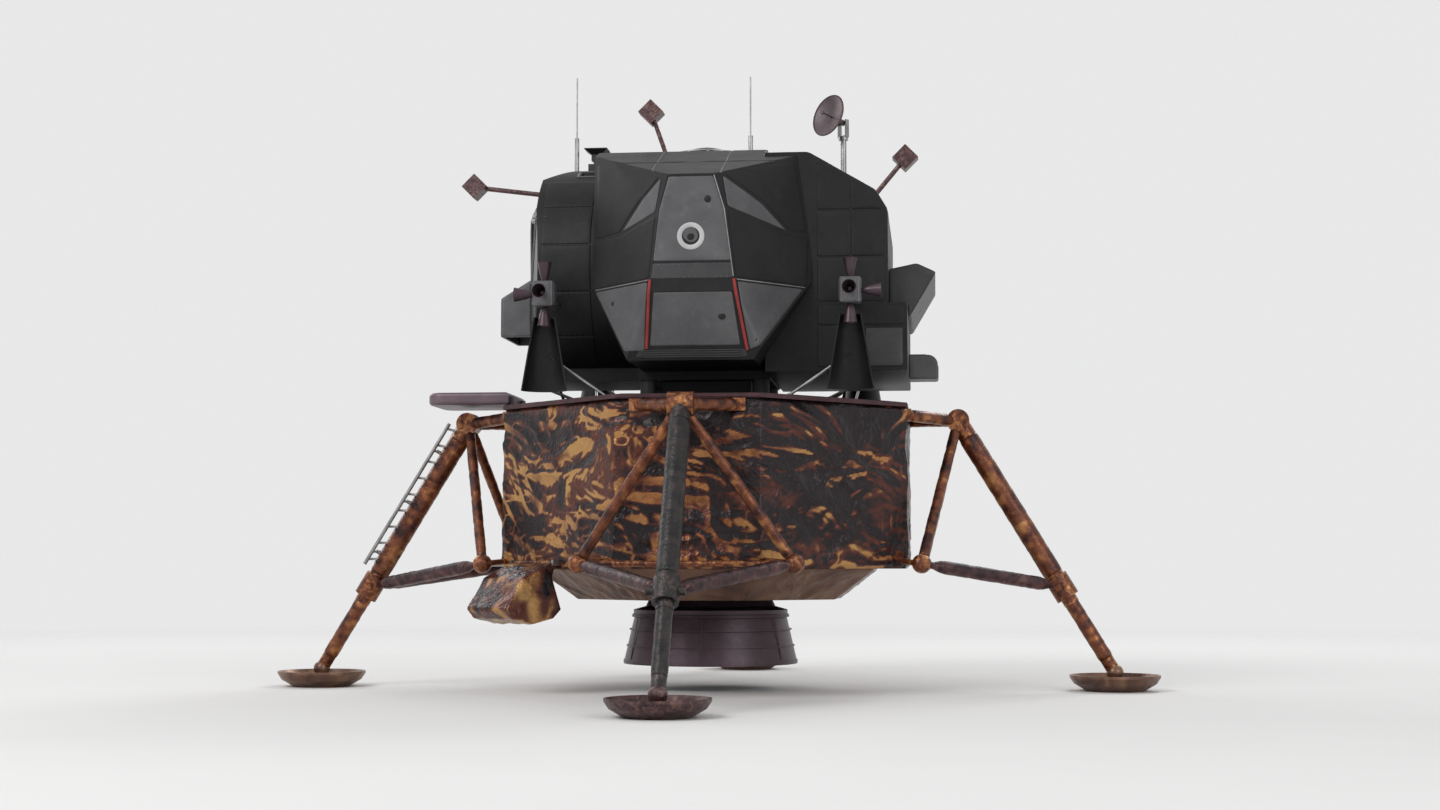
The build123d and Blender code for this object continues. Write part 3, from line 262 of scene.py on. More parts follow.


# Film finishes: bright, copper, middle and dark tones, metallic, roughness, crease scale, crease depth; the
# bright and copper tones colour a painted reflection over the middle and dark film
filmFinishes = {
    "amberFoil": ((0.500, 0.285, 0.098), (0.400, 0.165, 0.055), (0.105, 0.028, 0.018),
                  (0.014, 0.0092, 0.0104), 0.50, 0.30, 13.0, 0.012),
    "goldFoil": ((0.270, 0.165, 0.098), (0.235, 0.122, 0.075), (0.150, 0.078, 0.052), (0.060, 0.032, 0.030),
                 0.50, 0.34, 6.0, 0.012),
    "strutFoil": ((0.420, 0.200, 0.070), (0.380, 0.130, 0.045), (0.150, 0.045, 0.020), (0.040, 0.014, 0.012),
                  0.50, 0.33, 20.0, 0.008),
    "darkStrutFoil": ((0.075, 0.052, 0.048), (0.070, 0.045, 0.040), (0.024, 0.019, 0.019),
                      (0.009, 0.0085, 0.009), 0.40, 0.38, 20.0, 0.008),
    "duskStrutFoil": ((0.150, 0.078, 0.072), (0.150, 0.065, 0.055), (0.062, 0.027, 0.030),
                      (0.022, 0.011, 0.014), 0.45, 0.38, 20.0, 0.008),
    "bronzeFoil": ((0.165, 0.095, 0.085), (0.150, 0.075, 0.060), (0.075, 0.038, 0.040), (0.030, 0.016, 0.019),
                   0.45, 0.38, 26.0, 0.006),
}


def filmMaterial(name, slopeShare):
    # With a slope share, the mesh's own lit and warm values place the shine, a painted reflection; without it,
    # noise alone does
    bright, copper, middle, dark, metallic, rough, creaseScale, creaseDepth = filmFinishes[name]
    material, tree, shader, place = newMaterial(name + ("Slope" if slopeShare else ""))
    crinkle = addGroup(tree, crinkleGroup, {"Vector": place, "Scale": creaseScale, "Depth": creaseDepth,
                                            "Strength": 0.7})
    patches = noise(tree, place, creaseScale * 0.55, 3.0, 0.5, 1.1)
    warmth = noise(tree, place, 1.7, 3.0, 0.5, 0.4)
    if slopeShare:
        lit = calc(tree, "MULTIPLY", attributeValue(tree, "lit"), slopeShare)
        value = calc(tree, "ADD", lit, calc(tree, "MULTIPLY", patches, 1.0 - slopeShare))
        drift = calc(tree, "MULTIPLY", calc(tree, "SUBTRACT", warmth, 0.5), 1.6)
        copperShare = calc(tree, "ADD", attributeValue(tree, "warm"), drift, True)
    else:
        value = scaled(tree, patches, 1.5, -0.25)
        copperShare = scaled(tree, warmth, 2.4, -0.8, True)
    low = ramp(tree, value, [(0.20, dark), (0.46, middle)])
    tint = mixColour(tree, copperShare, rgb(bright), rgb(copper))
    shine = mapRange(tree, value, 0.44, 0.80, "SMOOTHSTEP")
    feedAll(tree, shader, {"Base Color": mixColour(tree, shine, low, tint), "Normal": crinkle["Normal"],
                           "Roughness": scaled(tree, noise(tree, place, 14.0), 0.2, rough - 0.1),
                           "Metallic": metallic})
    return material


def glassMaterial():
    material, tree, shader, place = newMaterial("pane")
    smear = noise(tree, place, 9.0, 5.0)
    shade = ramp(tree, smear, [(0.3, (0.10, 0.12, 0.13)), (0.7, (0.17, 0.19, 0.20))])
    feedAll(tree, shader, {"Base Color": shade, "Transmission Weight": 0.55, "IOR": 1.45,
                           "Roughness": scaled(tree, smear, 0.12, 0.02)})
    return material


materials = {name: sheetMaterial(name) for name in sheetFinishes}
for name in filmFinishes:
    materials[name] = filmMaterial(name, 0.0)
    materials[name + "Slope"] = filmMaterial(name, 0.86)
materials["pane"] = glassMaterial()
print("stage:", len(materials), "materials built")

# CAD nodes by finish
finishNodes = {
    "amberFoil": "descent_body equipment_tray",
    # The dish takes a dark mauve finish as painted shade
    "antennaDusk": "dish",
    "antennaWhite": "landing_radar",
    "bareMetal": "ladder gimbal_ring hinge_brackets dish_mast dish_yoke whip_antennas",
    "blackPanel": "cabin_shell midsection port_tank_bay starboard_tank_bay aft_bay plume_deflectors",
    # The boom antennas and the port footpad take the darker bronze film as painted shade; the other pads take
    # gold
    "bronzeFoil": "boom_antennas port_footpad",
    "darkMetal": "docking_ring overhead_hatch interstage_posts radar_pedestal radar_head",
    # The port and starboard primary struts take the dark film as painted shade; the forward and aft ones take
    # amber strut film
    "darkStrutFoil": "port_primary_strut starboard_primary_strut",
    "duskPanel": "forward_hatch control_console aft_hood",
    "duskStrutFoil": "port_secondary_struts aft_secondary_struts starboard_secondary_struts "
                     "forward_secondary_struts",
    "duskTrim": "descent_deck",
    "goldFoil": "base_shield aft_footpad starboard_footpad forward_footpad",
    "greyPanel": "nose_hood aft_junction_box thruster_cores",
    "nozzleAlloy": "engine_chamber engine_nozzle thruster_bells",
    "pane": "cabin_windows",
    "porchPlate": "porch",
    "strutFoil": "aft_primary_strut forward_primary_strut port_outrigger aft_outrigger starboard_outrigger "
                 "forward_outrigger",
}
nodeFinish = {name: finish for finish, names in finishNodes.items() for name in names.split()}
for name, item in nodes.items():
    item.data.materials.clear()
    item.data.materials.append(materials[nodeFinish[name]])


# Surfaces


def smoothNoise(points, cell, seed):
    # Random numbers on a lattice of that cell size, blended with smooth weights: values from -1 to 1
    lattice = np.asarray(points, float) / cell
    base = np.floor(lattice).astype(np.int64)
    part = lattice - base
    part = part * part * (3 - 2 * part)
    total = np.zeros(lattice.shape[:-1])
    for corner in np.ndindex(2, 2, 2):
        spot = base + np.array(corner)
        code = (spot[..., 0] * 73856093) ^ (spot[..., 1] * 19349663) ^ (spot[..., 2] * 83492791)
        code = code ^ (seed * 9781)
        code = (code ^ (code >> 13)) * 1274126177
        value = ((code ^ (code >> 16)) & 0xFFFF) / 65535.0
        total += value * np.prod(np.where(np.array(corner) > 0, part, 1 - part), axis=-1)
    return total * 2 - 1


def foldField(points, size, seed, count=6, push=0.5):
    # Crumpled film: triangle waves in several directions, their phase pushed about by smooth noise; -1 to 1
    source = np.random.default_rng(seed)
    total = np.zeros(np.asarray(points).shape[:-1])
    weight = 0.0
    for index in range(count):
        direction = source.normal(size=3)
        direction /= np.linalg.norm(direction)
        wave = size * source.uniform(0.7, 2.2)
        phase = points @ direction / wave + source.uniform()
        phase = phase + smoothNoise(points, size * 1.7, seed + 31 * index) * push
        total += np.abs((phase % 1.0) * 2 - 1) * wave
        weight += wave
    return total / weight * 2 - 1


def smoothStep(low, high, value):
    share = np.clip((value - low) / (high - low), 0, 1)
    return share * share * (3 - 2 * share)


def unit(vector):
    vector = np.asarray(vector, float)
    return vector / np.maximum(np.linalg.norm(vector, axis=-1, keepdims=True), 1e-12)


def enclosed(points, faces):
    # Six times the volume inside the faces: triple products over fans, summed
    total = 0.0
    for size in {len(face) for face in faces}:
        rows = np.array([face for face in faces if len(face) == size])
        for k in range(1, size - 1):
            cross = np.cross(points[rows[:, k]], points[rows[:, k + 1]])
            total += float(np.einsum("ij,ij->", points[rows[:, 0]], cross))
    return total


def addMesh(name, points, faces, finish, body="craft", attributes=None, sharp=None):
    points = np.asarray(points, float).reshape(-1, 3)
    if enclosed(points, faces) < 0:
        faces = [face[::-1] for face in faces]
    mesh = bpy.data.meshes.new(name)
    mesh.from_pydata(points.tolist(), [], faces)
    mesh.polygons.foreach_set("use_smooth", [True] * len(mesh.polygons))
    for key, values in (attributes or {}).items():
        layer = mesh.attributes.new(key, "FLOAT", "POINT")
        layer.data.foreach_set("value", np.asarray(values, np.float32).ravel())
    mesh.update()
    if sharp:
        mesh.set_sharp_from_angle(angle=math.radians(sharp))
    mesh.materials.append(materials[finish])
    item = addObject(name, mesh)
    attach(item, body)


def addParts(name, parts, finish, body="craft", sharp=None):
    # Several (points, faces, attributes) parts as one piece
    points, faces, attributes = [], [], {}
    start = 0
    for part in parts:
        points.append(np.asarray(part[0]).reshape(-1, 3))
        faces.extend([[index + start for index in face] for face in part[1]])
        for key, values in part[2].items():
            attributes.setdefault(key, []).append(np.asarray(values).ravel())
        start += len(points[-1])
    attributes = {key: np.concatenate(value) for key, value in attributes.items()}
    addMesh(name, np.concatenate(points), faces, finish, body, attributes, sharp)


def gridFaces(rows, columns, wrap=False, start=0):
    # Quads between neighbouring rows and columns, closed around the columns where wrap is set
    row = np.arange(rows - 1)[:, None]
    column = np.arange(columns if wrap else columns - 1)[None, :]
    follow = (column + 1) % columns
    first = row * columns + column
    quads = np.stack([first, row * columns + follow, (row + 1) * columns + follow, first + columns], -1)
    return (quads.reshape(-1, 4) + start).tolist()


def tubeFaces(rows, columns, closed=False):
    # Quads round a tube whose ends are capped or, where closed is set, joined to each other
    if closed:
        count = rows * columns
        return [[index % count for index in face] for face in gridFaces(rows + 1, columns, True)]
    ends = [list(range(columns))[::-1], [(rows - 1) * columns + k for k in range(columns)]]
    return gridFaces(rows, columns, True) + ends


surfaces = {}


def surfaceTree(name):
    if name not in surfaces:
        mesh = nodes[name].data
        points = [tuple(vertex.co) for vertex in mesh.vertices]
        surfaces[name] = BVHTree.FromPolygons(points, [list(polygon.vertices) for polygon in mesh.polygons])
    return surfaces[name]


stepsIn = (0.0, 0.015, 0.03, 0.05, 0.08, 0.12, 0.17, 0.23, 0.30, 0.40, 0.55)


def castOn(tree, points, outward, reach=0.30, toward=None):
    # Where a line through each point, running in from outside, first meets the surface; a line that
    # misses is moved in steps towards the given middle until it meets it
    flat = np.asarray(points).reshape(-1, 3)
    ways = np.broadcast_to(outward, np.asarray(points).shape).reshape(-1, 3)
    found = flat.copy()
    for index in range(len(flat)):
        for share in stepsIn[:1] if toward is None else stepsIn:
            spot = flat[index] if share == 0 else flat[index] + (toward - flat[index]) * share
            hit = tree.ray_cast(Vector(spot + ways[index] * reach), Vector(-ways[index]), 2 * reach)[0]
            if hit is not None:
                found[index] = hit
                break
    return found.reshape(np.asarray(points).shape)


def frameOf(direction):
    # Two unit vectors square to a direction
    direction = unit(direction)
    helper = np.array([0.0, 0.0, 1.0]) if abs(direction[2]) < 0.9 else np.array([1.0, 0.0, 0.0])
    side = unit(np.cross(helper, direction))
    return side, np.cross(direction, side)


def circleRound(axis, sides):
    # Unit vectors round an axis: cos * side + sin * other
    side, other = frameOf(axis)
    angles = np.linspace(0, 2 * np.pi, sides + 1)[:-1, None]
    return np.cos(angles) * side + np.sin(angles) * other


def wheel(angles):
    return np.stack([np.cos(angles), np.sin(angles), 0 * angles], -1)


def lathe(profile, centre, axis, sides=48, closed=False):
    # Points = centre + axis * height + radius * circle; a closed profile makes a ring, an open one a solid
    centre, around = np.asarray(centre), circleRound(axis, sides)
    rings = [centre + unit(axis) * height + around * radius for radius, height in profile]
    return np.concatenate(rings), tubeFaces(len(profile), sides, closed), {}


def studs(points, outward, radius):
    # Small domes: two rings and a tip, sunk a little into the sheet
    points = np.asarray(points).reshape(-1, 3)
    tall = radius * 0.6
    faces = gridFaces(3, 8, True) + [(16 + k, 16 + (k + 1) % 8, 24) for k in range(8)]
    faces.append(list(range(8))[::-1])
    made = []
    for spot, way in zip(points, np.broadcast_to(outward, points.shape)):
        around = circleRound(way, 8)
        rings = [spot + unit(way) * tall * rise + around * radius * share
                 for share, rise in ((1.0, -0.25), (1.0, 0.12), (0.62, 0.55))]
        made.append((np.concatenate(rings + [[spot + unit(way) * tall * 0.72]]), faces, {}))
    return made


def sweepBar(points, outward, width, height, closed=False, sink=0.002):
    # A flat bar with bevelled shoulders along a line of points
    points = np.asarray(points, float)
    ways = unit(np.broadcast_to(outward, points.shape))
    before = np.roll(points, 1, 0) if closed else np.concatenate([points[:1], points[:-1]])
    after = np.roll(points, -1, 0) if closed else np.concatenate([points[1:], points[-1:]])
    side = unit(np.cross(ways, unit(after - before)))
    bevel = min(width * 0.25, height * 0.6)
    half = width / 2
    section = [(-half, -sink), (-half, height - bevel), (-half + bevel, height), (half - bevel, height),
               (half, height - bevel), (half, -sink)]
    rings = np.stack([points + side * a + ways * b for a, b in section], 1)
    return rings.reshape(-1, 3), tubeFaces(len(points), 6, closed), {}


def lineOf(start, end, pitch):
    count = max(2, int(round(np.linalg.norm(np.subtract(end, start)) / pitch)) + 1)
    share = np.linspace(0, 1, count)[:, None]
    return np.asarray(start) * (1 - share) + np.asarray(end) * share


def loopOf(corners, pitch):
    # The whole way round an outline, each corner once
    ends = zip(corners, [*corners[1:], corners[0]])
    return np.concatenate([lineOf(start, end, pitch)[:-1] for start, end in ends])


def turn(points, quarters):
    # Quarter turns about the upright axis
    points = np.asarray(points, float)
    for _ in range(quarters % 4):
        points = np.stack([-points[..., 1], points[..., 0], points[..., 2]], -1)
    return points


# Foil wrap around the descent stage: film with broad billows, ridges and pleats

wrap = {"half": 2.080, "face": 0.700, "low": 1.270, "high": 2.930, "spacing": 0.0125, "gap": 0.005,
        "billow": 0.016, "thin": 0.003, "edge": 0.045, "corner": 0.07, "drum": 1.42, "back": 0.006,
        "seed": 61}
# Place of the tray's sweep: middle along the quadrant face, half width, top; film stays thin there
calm = {"middle": -0.3605, "half": 0.44, "top": 2.08, "facing": 1.9, "tall": 0.045, "limit": 0.011}
diagonal = math.sqrt(0.5)


def relief(spots, seed):
    # Noise pushed about by broader noise; ridges are 1 - 2|noise|
    push = np.stack([smoothNoise(spots, 0.42, seed + k) for k in range(3)], -1) * 0.17
    bent = spots + push
    slant = bent + bent[..., 2:3] * np.array([0.35, 0.35, 0.0])
    broad = smoothNoise(bent, 0.38, seed + 11)
    ridge = 1 - 2 * np.abs(smoothNoise(slant, 0.21, seed + 12))
    pleat = 1 - 2 * np.abs(smoothNoise(slant + 0.7, 0.115, seed + 13))
    fine = foldField(bent, 0.055, seed + 14, 4, 0.4)
    return 0.013 * broad + 0.016 * ridge + 0.0062 * pleat + 0.0030 * fine


def degreesRound(spots):
    return np.degrees(np.arctan2(spots[..., 1], spots[..., 0]))


def placeBias(spots):
    # How much painted reflection the film gets, by place: most on the forward port quadrant, least high on the
    # aft port one
    angle = degreesRound(spots)
    rise = (spots[..., 2] - wrap["low"]) / (wrap["high"] - wrap["low"])
    forward = smoothStep(70, 20, np.abs(angle + 45))
    aft = smoothStep(60, 15, np.abs(angle - 48))
    centre = smoothStep(26, 8, np.abs(angle))
    top = smoothStep(0.62, 1.0, rise)
    low = 0.030 + 0.046 * forward * (1 - 0.8 * top) - aft * (0.012 + 0.115 * rise)
    return low + centre * (0.024 - 0.070 * top)


def wrapLine(quarter):
    # One quarter of the way round the body, and the way out at each point, eased over the corners
    half, face = wrap["half"], wrap["face"]
    path = turn([(half, 0, 0), (half, face, 0), (face, half, 0), (0, half, 0)], quarter)
    normals = turn([(1, 0, 0), (diagonal, diagonal, 0), (0, 1, 0)], quarter)
    points, ways = [], []
    for index in range(3):
        line = lineOf(path[index], path[index + 1], wrap["spacing"])
        away = np.linalg.norm(line[:, None] - path[None, 1:3], axis=-1)
        way = np.repeat(normals[index][None], len(line), 0)
        for corner in range(2):
            bisector = unit(normals[corner] + normals[corner + 1])
            share = smoothStep(wrap["corner"], 0, away[:, corner])[:, None]
            way = way * (1 - share) + bisector * share
        last = len(line) - (index < 2)
        points.append(line[:last])
        ways.append(way[:last])
    return np.concatenate(points), unit(np.concatenate(ways))


def wrapTones(flat, rolled, rough, step, seed):
    # Painted reflection: film is lit where it drops away in a slowly swinging direction and where noise crosses
    # a level in curls; a softer painted glow lies under that, and one streak of painted highlight runs down the
    # aft port corner
    slopeUp, slopeAcross = np.gradient(rough, axis=0) / step, np.gradient(rough, axis=1) / wrap["spacing"]
    swing = 1.9 * smoothNoise(rolled, 0.50, seed + 21)
    drop = slopeUp * 0.82 * np.cos(swing) + slopeAcross * 0.78 * np.sin(swing)
    bias = placeBias(flat)
    lit = smoothStep(0.070, 0.165, drop + bias + 0.045 * smoothNoise(rolled, 0.06, seed + 5))
    curl = smoothStep(0.15, 0.06, np.abs(smoothNoise(rolled, 0.105, seed + 31) - 0.30))
    curl = curl * smoothStep(-0.20, 0.20, smoothNoise(rolled, 0.20, seed + 32))
    lit = np.maximum(lit, curl * smoothStep(-0.03, 0.05, bias))
    coarse, fine = smoothNoise(rolled, 0.10, seed + 25), smoothNoise(rolled, 0.035, seed + 26)
    lit = lit * (0.74 + 0.34 * coarse + 0.16 * fine)
    glow = smoothNoise(rolled, 0.33, seed + 22) + 0.35 * smoothNoise(rolled, 0.08, seed + 23)
    glow = smoothStep(-0.35, 0.40, glow)
    value = 0.14 + 0.30 * glow * smoothStep(-0.10, 0.06, drop + bias) + lit * 0.66
    # One lengthways streak of painted highlight on the aft port corner
    streak = smoothStep(0.55, 0.95, np.abs(smoothNoise(rolled * np.array([1, 1, 0.12]), 0.035, seed + 24)))
    angle = degreesRound(flat)
    value = value + 0.5 * streak * smoothStep(58, 68, angle) * smoothStep(80, 70, angle)
    centre = smoothStep(24, 8, np.abs(angle))
    return value, 0.30 + 0.55 * centre + 0.5 * smoothStep(50, 66, angle) * smoothStep(100, 80, angle)


def wrapPiece(name, quarter):
    line, way = wrapLine(quarter)
    rows, columns = int((wrap["high"] - wrap["low"]) / wrap["spacing"]), len(line)
    heights = np.linspace(wrap["low"], wrap["high"], rows)
    flat = np.repeat(line[None], rows, 0)
    flat[..., 2] = heights[:, None]
    # Noise is read on a drum that is smaller than the way round the body, so marks lie lengthways
    travel = np.concatenate([[0.0], np.cumsum(np.linalg.norm(np.diff(line, axis=0), axis=1))])
    rolled = wrap["drum"] * wheel((quarter + travel / travel[-1]) * math.pi / 2)
    rolled = np.repeat(rolled[None], rows, 0)
    rolled[..., 2] = heights[:, None]
    rough = relief(rolled, wrap["seed"])
    edgeAway = np.minimum(heights - wrap["low"], wrap["high"] - heights)[:, None]
    height = np.maximum(wrap["gap"] + wrap["billow"] + rough, wrap["thin"])
    height = height * smoothStep(0, wrap["edge"], edgeAway) + wrap["thin"]
    along = flat @ np.array([diagonal, diagonal, 0.0])
    facing = flat @ np.array([diagonal, -diagonal, 0.0])
    near = smoothStep(calm["half"] + 0.12, calm["half"], np.abs(along - calm["middle"]))
    near = near * smoothStep(calm["top"] + 0.15, calm["top"], flat[..., 2]) * (facing > calm["facing"])
    thin = np.minimum(height, wrap["thin"] + height * calm["limit"] / calm["tall"])
    height = height * (1 - near) + thin * near
    grid = flat + way * height[..., None]
    value, warm = wrapTones(flat, rolled, rough, heights[1] - heights[0], wrap["seed"])
    back = np.stack([line, line]) - way * wrap["back"]
    back[0, :, 2], back[1, :, 2] = heights[0], heights[-1]
    start, top = rows * columns, (rows - 1) * columns
    faces = gridFaces(rows, columns)
    faces += [quad[::-1] for quad in gridFaces(2, columns, False, start)]
    for k in range(columns - 1):
        faces.append([start + k, start + k + 1, k + 1, k])
        faces.append([top + k, top + k + 1, start + columns + k + 1, start + columns + k])
    faces.append([r * columns for r in range(rows)] + [start + columns, start])
    edge = [r * columns + columns - 1 for r in range(rows)]
    faces.append((edge + [start + 2 * columns - 1, start + columns - 1])[::-1])
    points = np.concatenate([grid.reshape(-1, 3), back.reshape(-1, 3)])
    extra = np.zeros(2 * columns)
    tones = {"lit": np.concatenate([value.ravel(), extra]), "warm": np.concatenate([warm.ravel(), extra])}
    addMesh(name, points, faces, "amberFoilSlope", attributes=tones)


for quarter, label in enumerate(("aft_port", "aft_starboard", "forward_starboard", "forward_port")):
    wrapPiece("foil_wrap_" + label, quarter)
print("stage: foil wrap")


# Foil sleeves on the struts: radius = strut + slack + folds, drawn in under tape at each band

sleeves = {"spacing": 0.016, "sides": 22, "slack": 0.0030, "fold": 0.0075, "foldSize": 0.075,
           "bandPitch": 0.36, "bandHalf": 0.020, "end": 0.03, "tape": 0.0012, "sunk": 0.0008}
# Leg lines for a leg along +X: start, end, share range, radius
apex, knee = (2.637, 0, 2.830), (3.7027, 0, 1.077)
legLines = {
    "primary": (apex, (4.242, 0, 0.190), 0.065, 0.612, 0.098),
    "piston": (apex, (4.242, 0, 0.190), 0.715, 0.945, 0.070),
    "beamLeft": ((1.930, -0.645, 2.870), apex, 0.30, 0.90, 0.055),
    "beamRight": ((1.930, 0.645, 2.870), apex, 0.30, 0.90, 0.055),
    "braceLeft": (apex, (2.250, -1.050, 1.320), 0.07, 0.955, 0.046),
    "braceRight": (apex, (2.250, 1.050, 1.320), 0.07, 0.955, 0.046),
    "secondaryLeft": ((2.250, -1.050, 1.320), knee, 0.14, 0.85, 0.062),
    "secondaryRight": ((2.250, 1.050, 1.320), knee, 0.14, 0.85, 0.062),
}


def sleeve(line, quarter, seed):
    start, end, first, last, radius = line
    start, end = turn([start, end], quarter)
    start, end = start + (end - start) * first, start + (end - start) * last
    length = np.linalg.norm(end - start)
    rows = int(length / sleeves["spacing"])
    along = np.linspace(0, length, rows)
    around = circleRound(end - start, sleeves["sides"])
    spots = start + (end - start) * (along / length)[:, None, None] + around[None] * radius
    rough = foldField(spots, sleeves["foldSize"], seed, 6, 0.7)
    pitch, bandHalf = sleeves["bandPitch"], sleeves["bandHalf"]
    offset = np.random.default_rng(seed).uniform(0, pitch)
    fromBand = np.abs((along - offset + pitch / 2) % pitch - pitch / 2)
    tie = smoothStep(bandHalf * 2.2, bandHalf, fromBand)[:, None]
    extra = sleeves["slack"] + sleeves["fold"] * (0.5 + 0.5 * rough) * (1 - tie)
    extra = extra + (fromBand < bandHalf)[:, None] * sleeves["tape"]
    fromEnd = np.minimum(along, length - along)[:, None]
    extra = sleeves["sunk"] + extra * smoothStep(0, sleeves["end"], fromEnd)
    points = spots + around[None] * extra[..., None]
    # Painted reflection: the underside and the fold crests are lighter; tape bands take an even middle value
    below = -np.broadcast_to(around[None, :, 2], rough.shape)
    value = 0.42 + 0.20 * below + 0.42 * rough + 0.30 * smoothNoise(spots, 0.10, seed + 3)
    value = np.clip(value * (1 - tie) + 0.50 * tie, 0.05, 1.1)
    warm = 0.5 + 0.5 * smoothNoise(spots, 0.3, seed + 4)
    return points.reshape(-1, 3), tubeFaces(rows, sleeves["sides"]), {"lit": value, "warm": warm}


for quarter, leg in enumerate(("port", "aft", "starboard", "forward")):
    parts = {key: sleeve(line, quarter, 100 + 20 * quarter + index)
             for index, (key, line) in enumerate(legLines.items())}
    for piece, finish, starts in (("strut", nodeFinish[leg + "_primary_strut"], ("primary", "piston")),
                                  ("truss", "strutFoil", ("beam", "brace")),
                                  ("secondary", "duskStrutFoil", ("secondary",))):
        chosen = [part for key, part in parts.items() if key.startswith(starts)]
        addParts(f"{leg}_{piece}_wrap", chosen, finish + "Slope")
print("stage: strut sleeves")


# Film over the folding tray, grown from the CAD tray on an even grid

trayFilm = {"voxel": 0.013, "clear": 0.085, "inner": 0.006, "outer": 0.016, "lift": 0.010, "folds": 0.62,
            "least": 0.0025, "full": 0.022, "seed": 83,
            "hinge": (diagonal * (1.9658 + 0.062 - 0.3605), -diagonal * (1.9658 + 0.062 + 0.3605), 1.330)}


def evenMesh(name, voxel):
    mesh = nodes[name].data.copy()
    item = addObject("evenSource", mesh)
    remesh = item.modifiers.new("even", "REMESH")
    remesh.mode, remesh.voxel_size = "VOXEL", voxel
    made = bpy.data.meshes.new_from_object(item.evaluated_get(bpy.context.evaluated_depsgraph_get()))
    values = []
    for key in ("co", "normal"):
        flat = np.zeros(len(made.vertices) * 3, np.float32)
        made.vertices.foreach_get(key, flat)
        values.append(flat.reshape(-1, 3).astype(float))
    faces = [list(polygon.vertices) for polygon in made.polygons]
    bpy.data.objects.remove(item)
    bpy.data.meshes.remove(mesh)
    bpy.data.meshes.remove(made)
    return values[0], values[1], faces


def makeTrayFilm():
    points, normals, faces = evenMesh("equipment_tray", trayFilm["voxel"])
    seed = trayFilm["seed"]
    out = np.array([diagonal, -diagonal, 0.0])
    away = points - np.array(trayFilm["hinge"])
    fromHinge = np.linalg.norm(np.stack([away @ out, away[:, 2]], -1), axis=1)
    inward = smoothStep(0.0, 0.5, -(normals @ out))
    height = trayFilm["lift"] + relief(points, seed) * trayFilm["folds"]
    height = height + 0.003 * smoothNoise(points, 0.05, seed + 1)
    limit = trayFilm["outer"] * (1 - inward) + trayFilm["inner"] * inward
    height = np.minimum(np.clip(height, trayFilm["least"], None) * limit / trayFilm["full"], limit)
    grip = smoothStep(trayFilm["clear"], trayFilm["clear"] + 0.05, fromHinge)
    height = height * grip - trayFilm["inner"] * (1 - grip)
    # Painted reflection: faces turned down are lighter, with streaks along flutes and ridges
    ridge = 1 - 2 * np.abs(smoothNoise(points, 0.13, seed + 2))
    flute = smoothNoise(points * np.array([1, 1, 0.35]), 0.10, seed + 3)
    value = 0.40 - 0.22 * normals[:, 2] + 0.42 * flute + 0.22 * ridge
    tones = {"lit": np.clip(value, 0.1, 1.0), "warm": 0.25 + 0.5 * smoothNoise(points, 0.25, seed + 4)}
    points = points + normals * height[:, None]
    addMesh("tray_film", points, faces, "amberFoilSlope", "tray", tones)


makeTrayFilm()
print("stage: tray film")


# Flat faces of a CAD node: neighbouring triangles within a small angle, and their outline


def flatFaces(name, minArea=0.02, angle=1.6):
    mesh = nodes[name].data
    spots = np.zeros(len(mesh.vertices) * 3, np.float32)
    mesh.vertices.foreach_get("co", spots)
    mesh.calc_loop_triangles()
    triangles = np.zeros(len(mesh.loop_triangles) * 3, np.int32)
    mesh.loop_triangles.foreach_get("vertices", triangles)
    rounded = np.round(spots.reshape(-1, 3).astype(float), 4)
    merged, inverse = np.unique(rounded, axis=0, return_inverse=True)
    triangles = inverse.ravel()[triangles.reshape(-1, 3)]
    first, second, third = (merged[triangles[:, k]] for k in range(3))
    normals = np.cross(second - first, third - first)
    areas = np.linalg.norm(normals, axis=1) / 2
    good = areas > 1e-8
    triangles, normals, areas = triangles[good], normals[good] / (2 * areas[good][:, None]), areas[good]
    edges = {}
    for index, (a, b, c) in enumerate(triangles):
        for pair in ((a, b), (b, c), (c, a)):
            edges.setdefault((min(pair), max(pair)), []).append(index)
    near = math.cos(math.radians(angle))
    neighbours = [[] for _ in triangles]
    for members in edges.values():
        if len(members) == 2 and normals[members[0]] @ normals[members[1]] > near:
            neighbours[members[0]].append(members[1])
            neighbours[members[1]].append(members[0])
    seen = np.zeros(len(triangles), bool)
    found = []
    for first in np.argsort(-areas):
        if seen[first]:
            continue
        seen[first] = True
        group, queue = [], [first]
        while queue:
            member = queue.pop()
            group.append(member)
            for other in neighbours[member]:
                if not seen[other] and normals[other] @ normals[first] > near:
                    seen[other] = True
                    queue.append(other)
        if areas[group].sum() < minArea:
            continue
        normal = unit((normals[group] * areas[group][:, None]).sum(0))
        loops = [straightened(merged[loop]) for loop in outlines(triangles[group])]
        loops = [loop for loop in loops if len(loop) >= 3]
        if loops:
            loop = max(loops, key=lambda item: polygonArea(item, normal))
            found.append({"corners": loop, "normal": normal, "area": polygonArea(loop, normal),
                          "holes": len(loops) - 1, "centre": loop.mean(0)})
    return found


def outlines(triangles):
    # Loops of the edges that only one triangle has
    follow = {}
    directed = {(a, b) for t in triangles for a, b in ((t[0], t[1]), (t[1], t[2]), (t[2], t[0]))}
    for a, b in directed:
        if (b, a) not in directed:
            follow.setdefault(a, []).append(b)
    loops = []
    while follow:
        start = next(iter(follow))
        loop, spot = [], start
        while spot in follow:
            loop.append(spot)
            after = follow[spot].pop()
            if not follow[spot]:
                del follow[spot]
            spot = after
            if spot == start:
                break
        loops.append(loop)
    return loops


def straightened(corners):
    # Corners at which the outline really turns
    before = corners - np.roll(corners, 1, 0)
    after = np.roll(corners, -1, 0) - corners
    lengths = np.linalg.norm(before, axis=1) * np.linalg.norm(after, axis=1)
    turning = np.linalg.norm(np.cross(before, after), axis=1)
    return corners[(lengths > 0) & (turning > 0.02 * lengths)]


